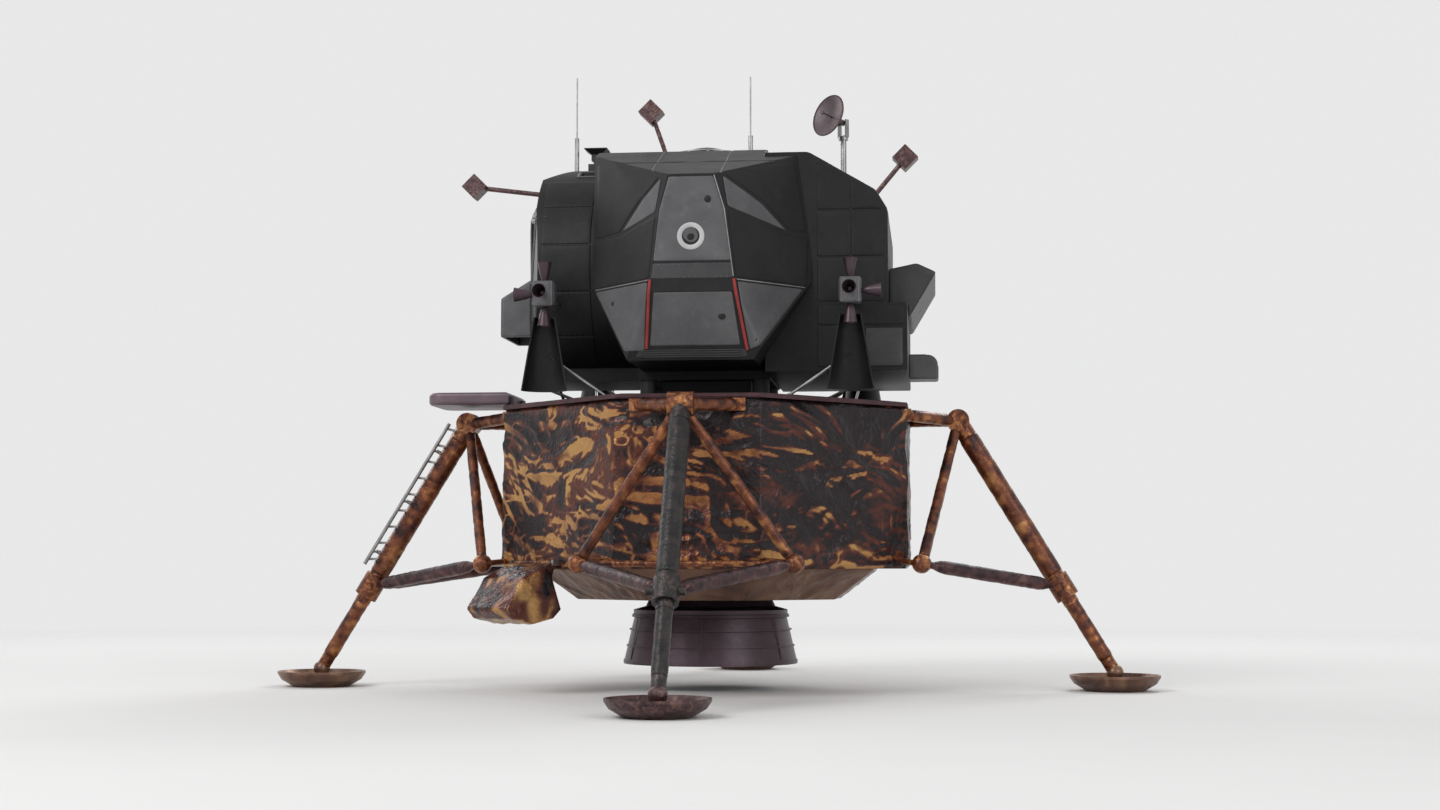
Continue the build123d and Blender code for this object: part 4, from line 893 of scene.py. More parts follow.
def polygonArea(corners, normal):
    return float(np.cross(corners, np.roll(corners, -1, 0)).sum(0) @ normal / 2)


# Panels laid on the cabin stage. A tile is an outline on a plane or drum, cast on to the CAD surface

panel = {"inset": 0.007, "edge": 0.011, "lift": 0.0065, "corner": 0.020, "spacing": 0.045, "dent": 0.0030,
         "sink": 0.004}
raisedPanel = {**panel, "lift": 0.013}


def insetCorners(corners, inset):
    # Each edge of a counter-clockwise outline moves inwards; a new corner is where two moved edges meet
    moved = []
    for index in range(len(corners)):
        before = unit(corners[index] - corners[index - 1])
        after = unit(corners[(index + 1) % len(corners)] - corners[index])
        inwardA, inwardB = np.array([-before[1], before[0]]), np.array([-after[1], after[0]])
        moved.append(corners[index] + (inwardA + inwardB) * inset / max(0.15, 1 + inwardA @ inwardB))
    return np.array(moved)


def roundedOutline(corners, radius, spacing, counts=None):
    # Straight runs joined at each corner by a curve P = (1-t)^2 A + 2t(1-t) C + t^2 B
    points, used = [], []
    curve = np.linspace(0, 1, 4)[:, None]
    for index in range(len(corners)):
        corner, before = corners[index], corners[index - 1]
        after = corners[(index + 1) % len(corners)]
        reachA = min(radius, 0.35 * np.linalg.norm(before - corner))
        reachB = min(radius, 0.35 * np.linalg.norm(after - corner))
        start, end = corner + unit(before - corner) * reachA, corner + unit(after - corner) * reachB
        points.append((1 - curve) ** 2 * start + 2 * curve * (1 - curve) * corner + curve ** 2 * end)
        finish = after + unit(corner - after) * reachB
        steps = counts[index] if counts else max(1, int(np.linalg.norm(finish - end) / spacing))
        used.append(steps)
        points.append(end + (finish - end) * np.linspace(0, 1, steps + 1)[1:-1, None])
    return np.concatenate(points), used


def flatArea(outline):
    after = np.roll(outline, -1, 0)
    return 0.5 * float(np.sum(outline[:, 0] * after[:, 1] - outline[:, 1] * after[:, 0]))


def clip(outline, axis, value, above):
    # The part of a flat outline on one side of a line across that axis
    kept = []
    for index in range(len(outline)):
        first, second = outline[index], outline[(index + 1) % len(outline)]
        inside = [(point[axis] >= value) == above for point in (first, second)]
        if inside[0]:
            kept.append(first)
        if inside[0] != inside[1]:
            kept.append(first + (second - first) * (value - first[axis]) / (second[axis] - first[axis]))
    return np.array(kept).reshape(-1, 2)


def cutTiles(outline, cutsA=(), cutsB=(), minArea=0.012):
    pieces = [np.asarray(outline, float)]
    for axis, cuts in ((0, cutsA), (1, cutsB)):
        for value in cuts:
            pieces = [clip(piece, axis, value, above) for piece in pieces for above in (False, True)]
            pieces = [piece for piece in pieces if len(piece) >= 3]
    return [piece for piece in pieces if abs(flatArea(piece)) > minArea]


def box(lowA, lowB, highA, highB):
    return [(lowA, lowB), (highA, lowB), (highA, highB), (lowA, highB)]


def mirrored(tiles):
    return [[(-a, b) for a, b in tile] for tile in tiles]


def planePlace(origin, across, upward, outward):
    origin, across, upward, outward = (np.asarray(v, float) for v in (origin, across, upward, outward))

    def place(flat):
        spots = origin + flat[..., :1] * across + flat[..., 1:2] * upward
        return spots, np.broadcast_to(outward, flat.shape[:-1] + (3,))
    return place


def sidePlace(side, distance):
    # Y and Z as seen from that side
    return planePlace((side * distance, 0, 0), (0, 1, 0), (0, 0, 1), (side, 0, 0))


def topPlace(height):
    return planePlace((0, 0, height), (1, 0, 0), (0, 1, 0), (0, 0, 1))


def drumPlace(radius, height):
    # First number: angle from the top towards +X times the radius; second: place along Y
    def place(flat):
        angle = flat[..., 0] / radius
        way = np.stack([np.sin(angle), 0 * angle, np.cos(angle)], -1)
        return way * radius + np.stack([0 * angle, flat[..., 1], 0 * angle + height], -1), way
    return place


def tileParts(outline, place, tree, seed, tone=0.0, reach=0.30, settings=panel, film=0.0):
    # Rings of the outline, from a sunk rim over a rounded shoulder to the middle, with shallow dents
    outline = np.asarray(outline, float)
    if flatArea(outline) < 0:
        outline = outline[::-1]
    rims, counts = [], None
    for share in (0, 0.35, 1):
        corners = insetCorners(outline, settings["inset"] + settings["edge"] * share)
        rim, counts = roundedOutline(corners, settings["corner"], settings["spacing"], counts)
        rims.append(rim)
    outer, middle, inner = rims
    centre = inner.mean(0)
    reachIn = np.linalg.norm(inner - centre, axis=1).max()
    share = np.linspace(1, 0, max(3, int(reachIn / settings["spacing"])) + 1)[1:-1, None, None]
    flat = np.concatenate([np.stack([outer, outer, middle, inner]), centre + (inner[None] - centre) * share])
    rings, around = flat.shape[:2]
    flat = np.concatenate([flat.reshape(-1, 2), centre[None]])
    spots, ways = place(flat)
    base = castOn(tree, spots, ways, reach, spots[-1])
    fromMiddle = np.linalg.norm(flat - centre, axis=-1) / max(reachIn, 1e-6)
    wave = smoothNoise(base, 0.21, seed) + 0.5 * smoothNoise(base, 0.09, seed + 1)
    height = settings["lift"] + settings["dent"] * wave * (1 - np.clip(fromMiddle, 0, 1) ** 4)
    if film:
        height = height + relief(base, seed) * film * smoothStep(0, 0.12, (1 - fromMiddle) * reachIn)
    height = np.maximum(height, 0.002)
    height[:around] = -settings["sink"]
    height[around:2 * around] = settings["lift"] * 0.25
    height[2 * around:3 * around] = settings["lift"] * 0.8
    last, tip = (rings - 1) * around, rings * around
    faces = gridFaces(rings, around, True) + [(last + k, last + (k + 1) % around, tip) for k in range(around)]
    faces.append(list(range(around))[::-1])
    return base + ways * height[:, None], faces, {"tone": np.full(len(flat), tone)}


def addTiles(name, tiles, place, source, finish, seed, tones, reach, body="craft",
             settings=panel):
    random = np.random.default_rng(seed)
    tree = surfaceTree(source)
    parts = [tileParts(tile, place, tree, seed + 5 * k, random.uniform(-tones, tones), reach, settings)
             for k, tile in enumerate(tiles)]
    addParts(name, parts, finish, body)


def facePlace(face):
    normal, origin = face["normal"], face["centre"]
    across = unit(np.cross((0.0, 0.0, 1.0), normal)) if abs(normal[2]) < 0.95 else np.array([1.0, 0.0, 0.0])
    upward = np.cross(normal, across)
    flat = np.stack([(face["corners"] - origin) @ across, (face["corners"] - origin) @ upward], -1)
    return planePlace(origin, across, upward, normal), flat


def faceTiles(node, choose, finish, seed, pitches, name=None, minArea=0.03, body="craft"):
    # Tiles over every flat face that is chosen, cut at even steps
    parts = []
    random = np.random.default_rng(seed)
    for index, face in enumerate(flatFaces(node, minArea)):
        if face["holes"] or not choose(*face["normal"], face):
            continue
        place, flat = facePlace(face)
        cuts = []
        for low, high, pitch in zip(flat.min(0), flat.max(0), pitches):
            cuts.append(np.linspace(low, high, max(1, int(round((high - low) / pitch))) + 1)[1:-1])
        for k, tile in enumerate(cutTiles(flat, *cuts)):
            tone = random.uniform(-0.06, 0.06)
            parts.append(tileParts(tile, place, surfaceTree(node), seed + 17 * index + k, tone))
    addParts(name or node + "_panels", parts, finish, body)


def facesOut(x, face):
    # A side face that looks away from the middle
    return abs(x) > 0.9 and x * face["centre"][0] > 0


# Port and starboard tank bays: outlines by Y and Z as they are seen from the side

bayTiles = {
    "centre": [[(-0.350, 4.270), (0.432, 4.270), (0.360, 4.780), (0.255, 5.120), (-0.195, 5.120),
                (-0.290, 4.780)]],
    "band": [[(-0.372, 4.095), (0.455, 4.095), (0.434, 4.262), (-0.352, 4.262)]],
    "foot": [[(-0.345, 3.975), (0.440, 3.975), (0.510, 3.450), (-0.400, 3.450)]],
    "lower": [[(-1.045, 4.080), (-0.395, 4.080), (-0.440, 3.400), (-0.655, 3.400)],
              [(0.475, 4.080), (1.100, 4.080), (0.700, 3.450), (0.590, 3.400)]],
    "wing": [[(-0.735, 4.635), (-0.325, 4.765), (-0.265, 5.130), (-0.480, 4.930)],
             [(0.945, 4.645), (0.700, 4.900), (0.330, 5.140), (0.385, 4.815)]],
    "upper": [[(-1.060, 4.105), (-0.385, 4.105), (-0.318, 4.740), (-0.740, 4.610), (-1.060, 4.610)],
              [(-0.755, 4.640), (-0.500, 4.930), (-0.290, 5.120), (-0.850, 5.370), (-1.050, 5.430),
               (-1.050, 4.630)],
              [(0.470, 4.105), (1.130, 4.105), (1.140, 4.620), (0.950, 4.620), (0.385, 4.790)],
              [(0.715, 4.915), (0.965, 4.660), (1.125, 4.660), (1.000, 5.400), (0.770, 5.320),
               (0.340, 5.150)]],
    "sill": [[(-0.560, 3.335), (0.580, 3.335), (0.560, 3.430), (-0.500, 3.430)]],
}
bayFinish = {"centre": "greyPanel", "band": "duskPanel", "foot": "greyPanel", "lower": "greyPanel",
             "wing": "greyPanel", "upper": "blackPanel", "sill": "darkMetal"}
# The starboard bay is narrower: lines Y = slope * Z + value that its outlines stay within
bayEdges = {"port": [], "starboard": [(-0.136, 1.476, False), (0.621, -1.459, False), (-0.148, -0.278, True)]}
bay = {"reach": 1.6, "plane": 2.3, "middle": 4.3, "lift": 0.0065, "rivet": 0.0062, "rivetPitch": 0.052}
redEdges = ([(-0.372, 4.095), (-0.385, 3.980), (-0.428, 3.430)],
            [(0.452, 4.095), (0.470, 3.980), (0.570, 3.410)])
# A pale bar down the right edge of the centre panel only: painted highlight
edgeCorners = [(0.258, 5.12), (0.360, 4.78), (0.448, 4.12)]
seamEnds = ([(-1.03, 4.092), (-0.40, 4.092)], [(0.48, 4.092), (1.10, 4.092)])
slatHeights = (3.350, 3.372, 3.394, 3.416)
ringProfile = [(0.088, -0.004), (0.088, 0.004), (0.094, 0.008), (0.129, 0.008), (0.135, 0.004),
               (0.135, -0.004)]
portProfile = [(0.088, -0.004), (0.088, 0.002), (0.050, -0.002), (0.030, 0.001), (0.004, 0.002)]
# Cap, vent and plug: place and profile
bayCaps = [((0.195, 4.885), [(0.034, -0.004), (0.034, 0.010), (0.028, 0.014), (0.006, 0.015)]),
           ((-0.80, 3.92), [(0.026, -0.004), (0.026, 0.008), (0.020, 0.012), (0.005, 0.012)]),
           ((0.33, 3.74), [(0.038, -0.004), (0.038, 0.008), (0.030, 0.012), (0.006, 0.013)])]
# Rivet lines: start and end
bayRivets = [((-0.315, 4.29), (0.39, 4.29)), ((-0.17, 5.09), (0.225, 5.09)), ((-0.31, 3.95), (0.41, 3.95)),
             ((-0.37, 3.475), (0.475, 3.475)), ((-0.34, 4.24), (0.42, 4.24)), ((-0.355, 4.115), (0.435, 4.115)),
             ((-1.00, 4.055), (-0.42, 4.055)), ((0.50, 4.055), (1.06, 4.055)), ((-0.64, 3.43), (-0.46, 3.43)),
             ((0.325, 4.80), (0.395, 4.32)), ((-0.265, 4.78), (-0.325, 4.32))]


def bentLine(corners, pitch):
    first, middle, last = corners
    return np.concatenate([lineOf(first, middle, pitch), lineOf(middle, last, pitch)[1:]])


def withinBay(outline, label):
    outline = np.asarray(outline, float)
    for slope, value, above in bayEdges[label]:
        lean = np.stack([outline[:, 1] * slope, np.zeros(len(outline))], -1)
        kept = clip(outline - lean, 0, value, above)
        outline = kept + np.stack([kept[:, 1] * slope, np.zeros(len(kept))], -1)
    return outline


def spotsWithin(points, label):
    keep = np.ones(len(points), bool)
    for slope, value, above in bayEdges[label]:
        over = points[:, 0] - slope * points[:, 1] - value
        keep &= (over > 0.015) if above else (over < -0.015)
    return points[keep]


def dressBay(side, label):
    node = label + "_tank_bay"
    face = (side, 0, 0)

    def onBay(points, lift=0.0):
        spots = np.array([(side * bay["plane"], y, z) for y, z in points])
        middle = np.array([side * bay["plane"], 0.0, bay["middle"]])
        return castOn(surfaceTree(node), spots, face, bay["reach"], middle) + [side * lift, 0, 0]

    for key, tiles in bayTiles.items():
        tiles = [withinBay(tile, label) for tile in tiles]
        addTiles(f"{label}_{key}_panels", tiles, sidePlace(side, bay["plane"]), node, bayFinish[key],
                 200 + len(key), 0.08, bay["reach"],
                 settings=raisedPanel if key == "lower" else panel)
    strips = [sweepBar(onBay(bentLine(edge, 0.05), 0.006), face, 0.030, 0.012, sink=0.010)
              for edge in redEdges]
    addParts(label + "_red_strips", strips, "redStripe", sharp=35)
    # The pale metal bar down the right edge is painted highlight; the bars along the seams follow
    bars = [sweepBar(onBay(bentLine(edgeCorners, 0.06), 0.003), face, 0.012, 0.010, sink=0.008)]
    bars += [sweepBar(onBay(spotsWithin(lineOf(*ends, 0.04), label)), face, 0.010, 0.014, sink=0.008)
             for ends in seamEnds]
    addParts(label + "_edge_strips", bars, "bareMetal", sharp=35)
    centre = onBay([(0.03, 4.52)], bay["lift"])[0]
    addParts(label + "_ring_mark", [lathe(ringProfile, centre, face, 64, True)], "whitePaint", sharp=35)
    caps = [lathe(profile, onBay([spot])[0], face, 24) for spot, profile in bayCaps]
    addParts(label + "_ports", [lathe(portProfile, centre, face, 40)] + caps, "blackPanel", sharp=35)
    rivets = []
    for ends in bayRivets:
        line = spotsWithin(lineOf(*ends, bay["rivetPitch"]), label)
        if len(line):
            rivets += studs(onBay(line, bay["lift"]), face, bay["rivet"])
    addParts(label + "_rivets", rivets, "greyPanel")
    slats = [sweepBar(onBay(lineOf((-0.45, z), (0.50, z), 0.1), 0.006), face, 0.011, 0.009, sink=0.008)
             for z in slatHeights]
    addParts(label + "_sill_slats", slats, "duskPanel", sharp=35)
    faceTiles(node, lambda x, y, z, face: z > 0.8, "blackPanel", 260, (0.75, 0.7), label + "_bay_roof_panels")


for side, label in ((1, "port"), (-1, "starboard")):
    dressBay(side, label)
print("stage: tank bays")


# Cabin: drum panels, front wall, window bezels and hatch

forward, upward = (0, -1, 0), (0, 0, 1)
drum = {"radius": 1.168, "height": 4.400, "front": -1.650, "back": -1.115, "rivetGap": 0.020,
        "seams": (36, 58, 80, 104, 128, 150)}
place = drumPlace(drum["radius"], drum["height"])
seams = [math.radians(angle) * drum["radius"] for angle in drum["seams"]]
drumTiles = [box(first, drum["front"], last, drum["back"]) for first, last in zip(seams, seams[1:])]
for label, tiles in (("port", drumTiles), ("starboard", mirrored(drumTiles))):
    addTiles(label + "_drum_panels", tiles, place, "cabin_shell", "blackPanel", 310, 0.10, 0.35)
rivets = []
for side in (1, -1):
    for angle in drum["seams"][1:-1]:
        around = math.radians(angle) * side
        way = np.array([math.sin(around), 0, math.cos(around)])
        for shift in (-drum["rivetGap"], drum["rivetGap"]):
            nudge = np.cross(way, (0, 1, 0)) * shift
            ends = [way * drum["radius"] + (0, along, drum["height"]) + nudge for along in (-1.62, -1.14)]
            line = castOn(surfaceTree("cabin_shell"), lineOf(*ends, 0.06), way)
            rivets += studs(line + way * panel["lift"], way, 0.0055)
addParts("drum_rivets", rivets, "duskPanel")

frontPlace = planePlace((0, -2.0, 0), (1, 0, 0), upward, forward)
wallTiles = [box(-0.455, 4.365, -0.010, 4.680), box(0.010, 4.365, 0.455, 4.680),
             box(-0.455, 4.700, 0.455, 4.995)]
addTiles("front_wall_panels", wallTiles, frontPlace, "cabin_shell", "blackPanel", 330, 0.10, 0.5)
cheekTiles = cutTiles([(0.490, 3.390), (0.640, 3.470), (0.870, 3.690), (1.020, 3.960), (1.075, 4.230),
                       (0.490, 4.230)], (), (3.86,))
cheekTiles += mirrored(cheekTiles)
addTiles("cheek_panels", cheekTiles, frontPlace, "cabin_shell", "duskPanel", 335, 0.08, 0.5)

# Share across the cheek and height of each corner; the wall folds back above the windows
windowCorners = ((0.02, 4.940), (0.78, 4.860), (0.16, 4.330))
cheek = {"face": 0.470, "half": 1.110, "front": 1.870, "back": 0.180, "fold": 4.995}
# How far outside the corners, width and height of the two strips round a window
windowStrips = ((0.052, 0.030, 0.016), (0.124, 0.020, 0.009))


def aroundWindow(corners, way, away, pitch):
    middle = np.mean(corners, 0)
    outer = [middle + (corner - middle) * (1 + away / np.linalg.norm(corner - middle)) for corner in corners]
    loop = loopOf(outer, pitch)
    below = loop[loop[:, 2] < cheek["fold"]]
    return castOn(surfaceTree("cabin_shell"), below, way, 0.2), len(below) == len(loop)


bezels, rivets = [], []
for side in (1, -1):
    run = np.array([side * (cheek["half"] - cheek["face"]), cheek["back"], 0.0])
    way = unit(np.array([side * run[1], -abs(run[0]), 0.0]))
    start = np.array([side * cheek["face"], -cheek["front"], 0.0])
    corners = [start + [0, 0, height] + run * share for share, height in windowCorners]
    for away, width, height in windowStrips:
        spots, closed = aroundWindow(corners, way, away, 0.06)
        bezels.append(sweepBar(spots + way * 0.001, way, width, height, closed, 0.006))
    spots, closed = aroundWindow(corners, way, 0.088, 0.055)
    rivets += studs(spots + way * 0.002, way, 0.0055)
addParts("window_bezels", bezels, "greyPanel", sharp=35)
addParts("window_rivets", rivets, "greyPanel")
bezels = []
for side in (1, -1):
    corners = [(side * x, y, 5.9) for x, y in box(0.405, -1.355, 0.585, -1.005)]
    spots = castOn(surfaceTree("cabin_shell"), loopOf(corners, 0.05), upward, 0.9)
    bezels.append(sweepBar(spots, (side * 0.42, 0, 1.0), 0.026, 0.012, True, 0.008))
addParts("roof_window_bezels", bezels, "greyPanel", sharp=35)

hatch = {"front": -1.868, "grip": -1.905, "gripX": 0.27, "half": 0.30}
addTiles("hatch_panel", [box(-0.365, 3.335, 0.365, 3.940)], frontPlace, "forward_hatch", "greyPanel", 341,
         0.0, 0.4, "forward_hatch")
bars = []
for z in (3.45, 3.83):
    line = lineOf((-hatch["half"], hatch["front"], z), (hatch["half"], hatch["front"], z), 0.1)
    bars.append(sweepBar(line, forward, 0.030, 0.008, sink=0.006))
grip = lineOf((hatch["gripX"], hatch["grip"], 3.56), (hatch["gripX"], hatch["grip"], 3.72), 0.04)
bars.append(sweepBar(grip, forward, 0.022, 0.014, sink=0.006))
bars += [lathe([(0.010, 0), (0.010, 0.040), (0.004, 0.042)], (hatch["gripX"], hatch["front"], z), forward, 12)
         for z in (3.575, 3.705)]
addParts("hatch_fittings", bars, "bareMetal", "forward_hatch", sharp=35)

faceTiles("nose_hood", lambda x, y, z, face: y < -0.4 or facesOut(x, face), "greyPanel", 350, (0.5, 0.42))
hoodRivet = 0.006
hoodLines = [((side * 0.6, y, 3.77), (side * 0.6, y, top), (side, 0, 0))
             for side in (1, -1) for y, top in ((-2.165, 4.10), (-1.93, 4.24))]
rivets = []
for start, end, way in hoodLines + [((-0.40, -2.4, 3.765), (0.40, -2.4, 3.765), forward)]:
    spots = castOn(surfaceTree("nose_hood"), lineOf(start, end, 0.05), way, 0.3)
    rivets += studs(spots + np.array(way) * hoodRivet, way, hoodRivet)
addParts("hood_rivets", rivets, "greyPanel")
print("stage: cabin")


# Aft bay, hood, junction box, midsection roof and docking ring

faceTiles("aft_bay", lambda x, y, z, face: y > 0.5 or z > 0.8, "blackPanel", 360, (0.62, 0.62),
          "aft_bay_back_panels")
aftTiles = cutTiles([(1.215, 3.960), (1.900, 3.960), (1.900, 4.880), (1.790, 5.080), (1.230, 5.400),
                     (1.215, 5.400)], (1.56,), (4.42, 4.90))
aftTiles += cutTiles(box(1.215, 3.290, 2.095, 3.925), (), (3.72,))
for side, label in ((1, "port"), (-1, "starboard")):
    place = sidePlace(side, 1.4)
    addTiles(label + "_aft_side_panels", aftTiles, place, "aft_bay", "blackPanel", 370, 0.12, 0.3)
    addTiles(label + "_aft_low_panels", [box(1.700, 3.300, 2.085, 3.700)], place, "aft_bay", "duskPanel", 372,
             0.05, 0.3, settings={**raisedPanel, "corner": 0.03})
faceTiles("aft_hood", lambda x, y, z, face: facesOut(x, face) or y > 0.3 or z > 0.9, "duskPanel", 380,
          (0.45, 0.5))
faceTiles("aft_junction_box", lambda x, y, z, face: y > -0.5, "greyPanel", 390, (0.4, 0.4))
roofTiles = [box(0.475, -0.450, 0.885, -0.050), box(0.475, -0.040, 0.885, 0.385),
             box(0.310, 0.405, 0.885, 0.675), box(0.300, -0.680, 0.885, -0.480)]
roofTiles += mirrored(roofTiles) + [box(-0.295, 0.435, 0.295, 0.675), box(-0.285, -0.680, 0.285, -0.500)]
addTiles("roof_panels", roofTiles, topPlace(5.8), "midsection", "blackPanel", 400, 0.10, 0.5)

dock = {"centre": np.array([0.0, -0.040, 0.0]), "flange": 5.640, "top": 5.720, "outer": 0.400, "bolts": 24,
        "boltRadius": 0.4155}
dockProfile = [(0.366, -0.004), (0.366, 0.003), (0.372, 0.007), (0.388, 0.007), (0.394, 0.003),
               (0.394, -0.004)]
dockParts = [lathe(dockProfile, dock["centre"] + [0, 0, dock["top"]], upward, 72, True)]
angles = np.linspace(0, 2 * np.pi, dock["bolts"] + 1)[:-1]
bolts = dock["centre"] + [0, 0, dock["flange"]] + wheel(angles) * dock["boltRadius"]
dockParts += studs(bolts, upward, 0.0085)
for way in wheel(angles[::2] + 0.13):
    spot = dock["centre"] + way * dock["outer"] + [0, 0, dock["flange"] + 0.008]
    dockParts.append(sweepBar([spot, spot + [0, 0, 0.062]], way, 0.036, 0.016, sink=0.004))
addParts("docking_fittings", dockParts, "bareMetal", sharp=35)
lid = lathe([(0.034, -0.006), (0.034, 0.006), (0.026, 0.010), (0.006, 0.011)], (0, -0.04, 5.809), upward, 28)
addParts("lid_cap", [lid], "bareMetal", "overhead_hatch", sharp=35)
print("stage: aft bay and roof")


# Descent deck, heat shield, engine skirt

deckQuarter = cutTiles(box(0.80, -0.690, 2.085, 0.690), (), (0.0,))
deckQuarter += cutTiles([(0.80, 0.715), (2.080, 0.715), (0.715, 2.080), (0.715, 0.80)], (1.35,), ())
deckTiles = [turn([(x, y, 0) for x, y in tile], quarter)[:, :2]
             for quarter in range(4) for tile in deckQuarter]
addTiles("deck_panels", deckTiles, topPlace(3.1), "descent_deck", "blackPanel", 420, 0.10, 0.4,
         settings={**panel, "spacing": 0.09})
deckRim = {"half": wrap["half"] + 0.030, "face": wrap["face"] + 0.012, "height": 2.953}
corners = [turn((deckRim["half"], sign * deckRim["face"], deckRim["height"]), quarter)
           for quarter in range(4) for sign in (-1, 1)]
loop = loopOf(corners, 0.12)
bar = sweepBar(loop, unit(loop * [1, 1, 0]), 0.030, 0.007, True, 0.008)
addParts("deck_rim", [bar], "duskTrim", sharp=35)

shield = {"inner": 1.2, "seed": 440, "creases": 0.55}
shieldPanel = {**panel, "inset": 0.004, "edge": 0.020, "lift": 0.006, "spacing": 0.028, "corner": 0.03}
parts = []
for index, face in enumerate(flatFaces("base_shield", 0.10)):
    if -0.97 < face["normal"][2] < -0.4 and np.linalg.norm(face["centre"][:2]) >= shield["inner"]:
        place, flat = facePlace(face)
        points, faces, _ = tileParts(flat, place, surfaceTree("base_shield"), shield["seed"] + index,
                                     settings=shieldPanel, film=shield["creases"])
        lit = 0.52 + 0.20 * smoothNoise(points, 0.34, 441) + 0.14 * smoothNoise(points, 0.11, 442)
        parts.append((points, faces, {"lit": lit, "warm": 0.4 + 0.5 * smoothNoise(points, 0.5, 443)}))
addParts("shield_film", parts, "goldFoilSlope")

skirt = {"top": 0.830, "topRadius": 0.820, "exit": 0.270, "exitRadius": 0.925, "proud": 0.005, "sunk": 0.002,
         "rivets": 60}


def skirtRadius(z):
    down = (skirt["top"] - z) / (skirt["top"] - skirt["exit"])
    return skirt["topRadius"] + down * (skirt["exitRadius"] - skirt["topRadius"])


bands = []
for z, width in ((0.300, 0.030), (0.460, 0.014), (0.630, 0.014), (0.775, 0.030)):
    low, high = skirtRadius(z - width / 2), skirtRadius(z + width / 2)
    profile = [(low - skirt["sunk"], -width / 2), (low + skirt["proud"], -width / 2),
               (high + skirt["proud"], width / 2), (high - skirt["sunk"], width / 2)]
    bands.append(lathe(profile, (0, 0, z), upward, 96, True))
circle = wheel(np.linspace(0, 2 * np.pi, skirt["rivets"] + 1)[:-1])
for z in (0.775, 0.300):
    bands += studs(circle * (skirtRadius(z) + skirt["proud"]) + [0, 0, z], circle, 0.0065)
for way in circle[::10]:
    line = [way * skirtRadius(z) + [0, 0, z] for z in (0.32, 0.45, 0.60, 0.755)]
    bands.append(sweepBar(line, way, 0.016, 0.004, sink=0.003))
addParts("skirt_bands", bands, "nozzleAlloy", "engine", sharp=35)
faceTiles("thruster_cores", lambda x, y, z, face: face["area"] > 0.02, "greyPanel", 460, (0.5, 0.5),
          "core_panels", 0.02)
faceTiles("control_console", lambda x, y, z, face: y > 0.8, "darkMetal", 470, (0.2, 0.2), "console_panels")
faceTiles("landing_radar", lambda x, y, z, face: abs(z) > 0.8 and face["area"] > 0.05, "antennaWhite", 480,
          (0.26, 0.34), "radar_face_panels", body="landing_radar")
print("stage: lower parts")


# Dish rim and ribs, and the stays of the deflectors; the stays' pale bare metal is a painted highlight

dish = {"centre": np.array([-0.840, 1.400, 6.240]), "axis": unit([0.7009, -0.6769, 0.2250]), "offset": 0.165,
        "radius": 0.235, "depth": 0.070, "ribs": 8}
# Sphere radius = (radius^2 + depth^2) / (2 depth); its depth at r = sphere - sqrt(sphere^2 - r^2)
sphere = (dish["radius"] ** 2 + dish["depth"] ** 2) / (2 * dish["depth"])
lip = dish["offset"] + dish["depth"]
rimProfile = [(0.227, lip - 0.006), (0.240, lip - 0.006), (0.243, lip), (0.240, lip + 0.005),
              (0.228, lip + 0.005)]
parts = [lathe(rimProfile, dish["centre"], dish["axis"], 72, True)]
reach = np.linspace(0.046, 0.222, 12)[:, None]
depth = dish["offset"] + (sphere - np.sqrt(sphere ** 2 - reach ** 2))
for way in circleRound(dish["axis"], dish["ribs"]):
    line = dish["centre"] + dish["axis"] * depth + way * reach
    parts.append(sweepBar(line, -dish["axis"], 0.011, 0.010, sink=0.003))
addParts("dish_trim", parts, "duskTrim", "dish", sharp=40)

# Foot by how far inboard, how far towards the middle, and whether it starts at mid height
stayFeet = ((0.500, 0.260, False), (0.120, 0.640, True), (0.620, 0.100, True))
quad = {"side": 1.680, "forward": (-1.500, 1.570), "deck": 2.978, "lowBack": 1.452, "midBack": 1.5145,
        "low": 3.0783, "mid": 3.4202, "radius": 0.0152}
parts = []
for side, along in ((side, along) for side in (1, -1) for along in quad["forward"]):
    for inboard, inward, high in stayFeet:
        back, height = (quad["midBack"], quad["mid"]) if high else (quad["lowBack"], quad["low"])
        start = np.array([side * back, along, height])
        end = np.array([side * (quad["side"] - inboard), along - math.copysign(inward, along), quad["deck"]])
        length = np.linalg.norm(end - start)
        # The longest stay starts clear of the deflector
        first = length * 0.19 if inward > 0.5 else 0.012
        for profile in ([(quad["radius"], first), (quad["radius"], length - 0.03)],
                        [(0.020, length - 0.036), (0.020, length - 0.008)]):
            parts.append(lathe(profile, start, end - start, 16))
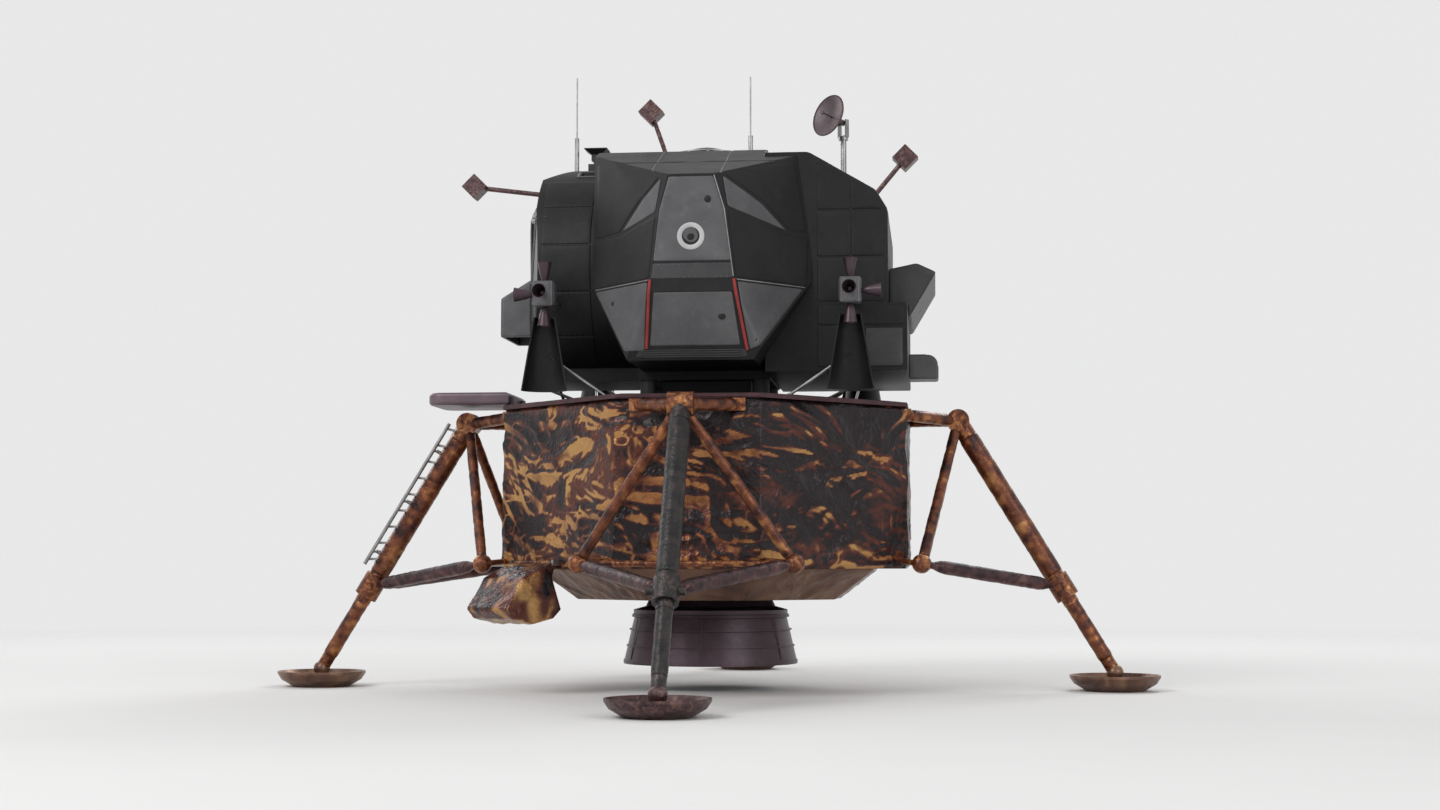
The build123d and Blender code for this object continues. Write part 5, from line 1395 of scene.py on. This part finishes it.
# Pale bare metal on the stays: painted highlight
addParts("deflector_stays", parts, "bareMetal", sharp=40)
print("stage: dish trim and stays")


# Floor and world


def makeFloor():
    # A wide disc of the pale studio floor
    count = 96
    radii = np.array([0.15, 0.35, 0.75, 1.0]) * studio["floorRadius"]
    rings = radii[:, None, None] * wheel(np.linspace(0, 2 * np.pi, count + 1)[:-1])
    points = np.concatenate([rings.reshape(-1, 3), [[0, 0, 0]]])
    points[:, 2] = -0.001
    faces = [face[::-1] for face in gridFaces(len(radii), count, True)]
    faces += [(k, (k + 1) % count, len(points) - 1) for k in range(count)]
    mesh = bpy.data.meshes.new("floor")
    mesh.from_pydata(points.tolist(), [], faces)
    material, tree, shader, place = newMaterial("studioFloor")
    shade = studio["floorColour"]
    tones = ramp(tree, noise(tree, place, 0.6, 3.0), [(0.3, [tone * 0.985 for tone in shade]), (0.7, shade)])
    feedAll(tree, shader, {"Base Color": tones, "Roughness": 0.85, "Specular IOR Level": 0.1})
    # The disc turns clear towards its rim, so that no edge shows against the backdrop
    length = addNode(tree, "VectorMath", {0: place}, operation="LENGTH").outputs["Value"]
    fade = mapRange(tree, length, studio["fadeStart"], studio["fadeEnd"], "SMOOTHSTEP")
    clear = addNode(tree, "BsdfTransparent").outputs["BSDF"]
    blend = addNode(tree, "MixShader", {0: fade, 1: shader.outputs["BSDF"], 2: clear}).outputs["Shader"]
    feed(tree, blend, tree.nodes["Material Output"].inputs["Surface"])
    mesh.materials.append(material)
    addObject("floor", mesh)


def makeWorld():
    world = bpy.data.worlds.new("studio")
    bpy.context.scene.world = world
    world.use_nodes = True
    tree = world.node_tree
    rays = addNode(tree, "LightPath").outputs
    seen = calc(tree, "MAXIMUM", rays["Is Camera Ray"], rays["Is Transmission Ray"])
    seen = calc(tree, "MAXIMUM", seen, rays["Is Glossy Ray"])
    strength = scaled(tree, seen, studio["backdrop"] - studio["worldLight"], studio["worldLight"])
    feedAll(tree, tree.nodes["Background"], {"Color": rgb(studio["worldColour"]), "Strength": strength})


makeFloor()
makeWorld()
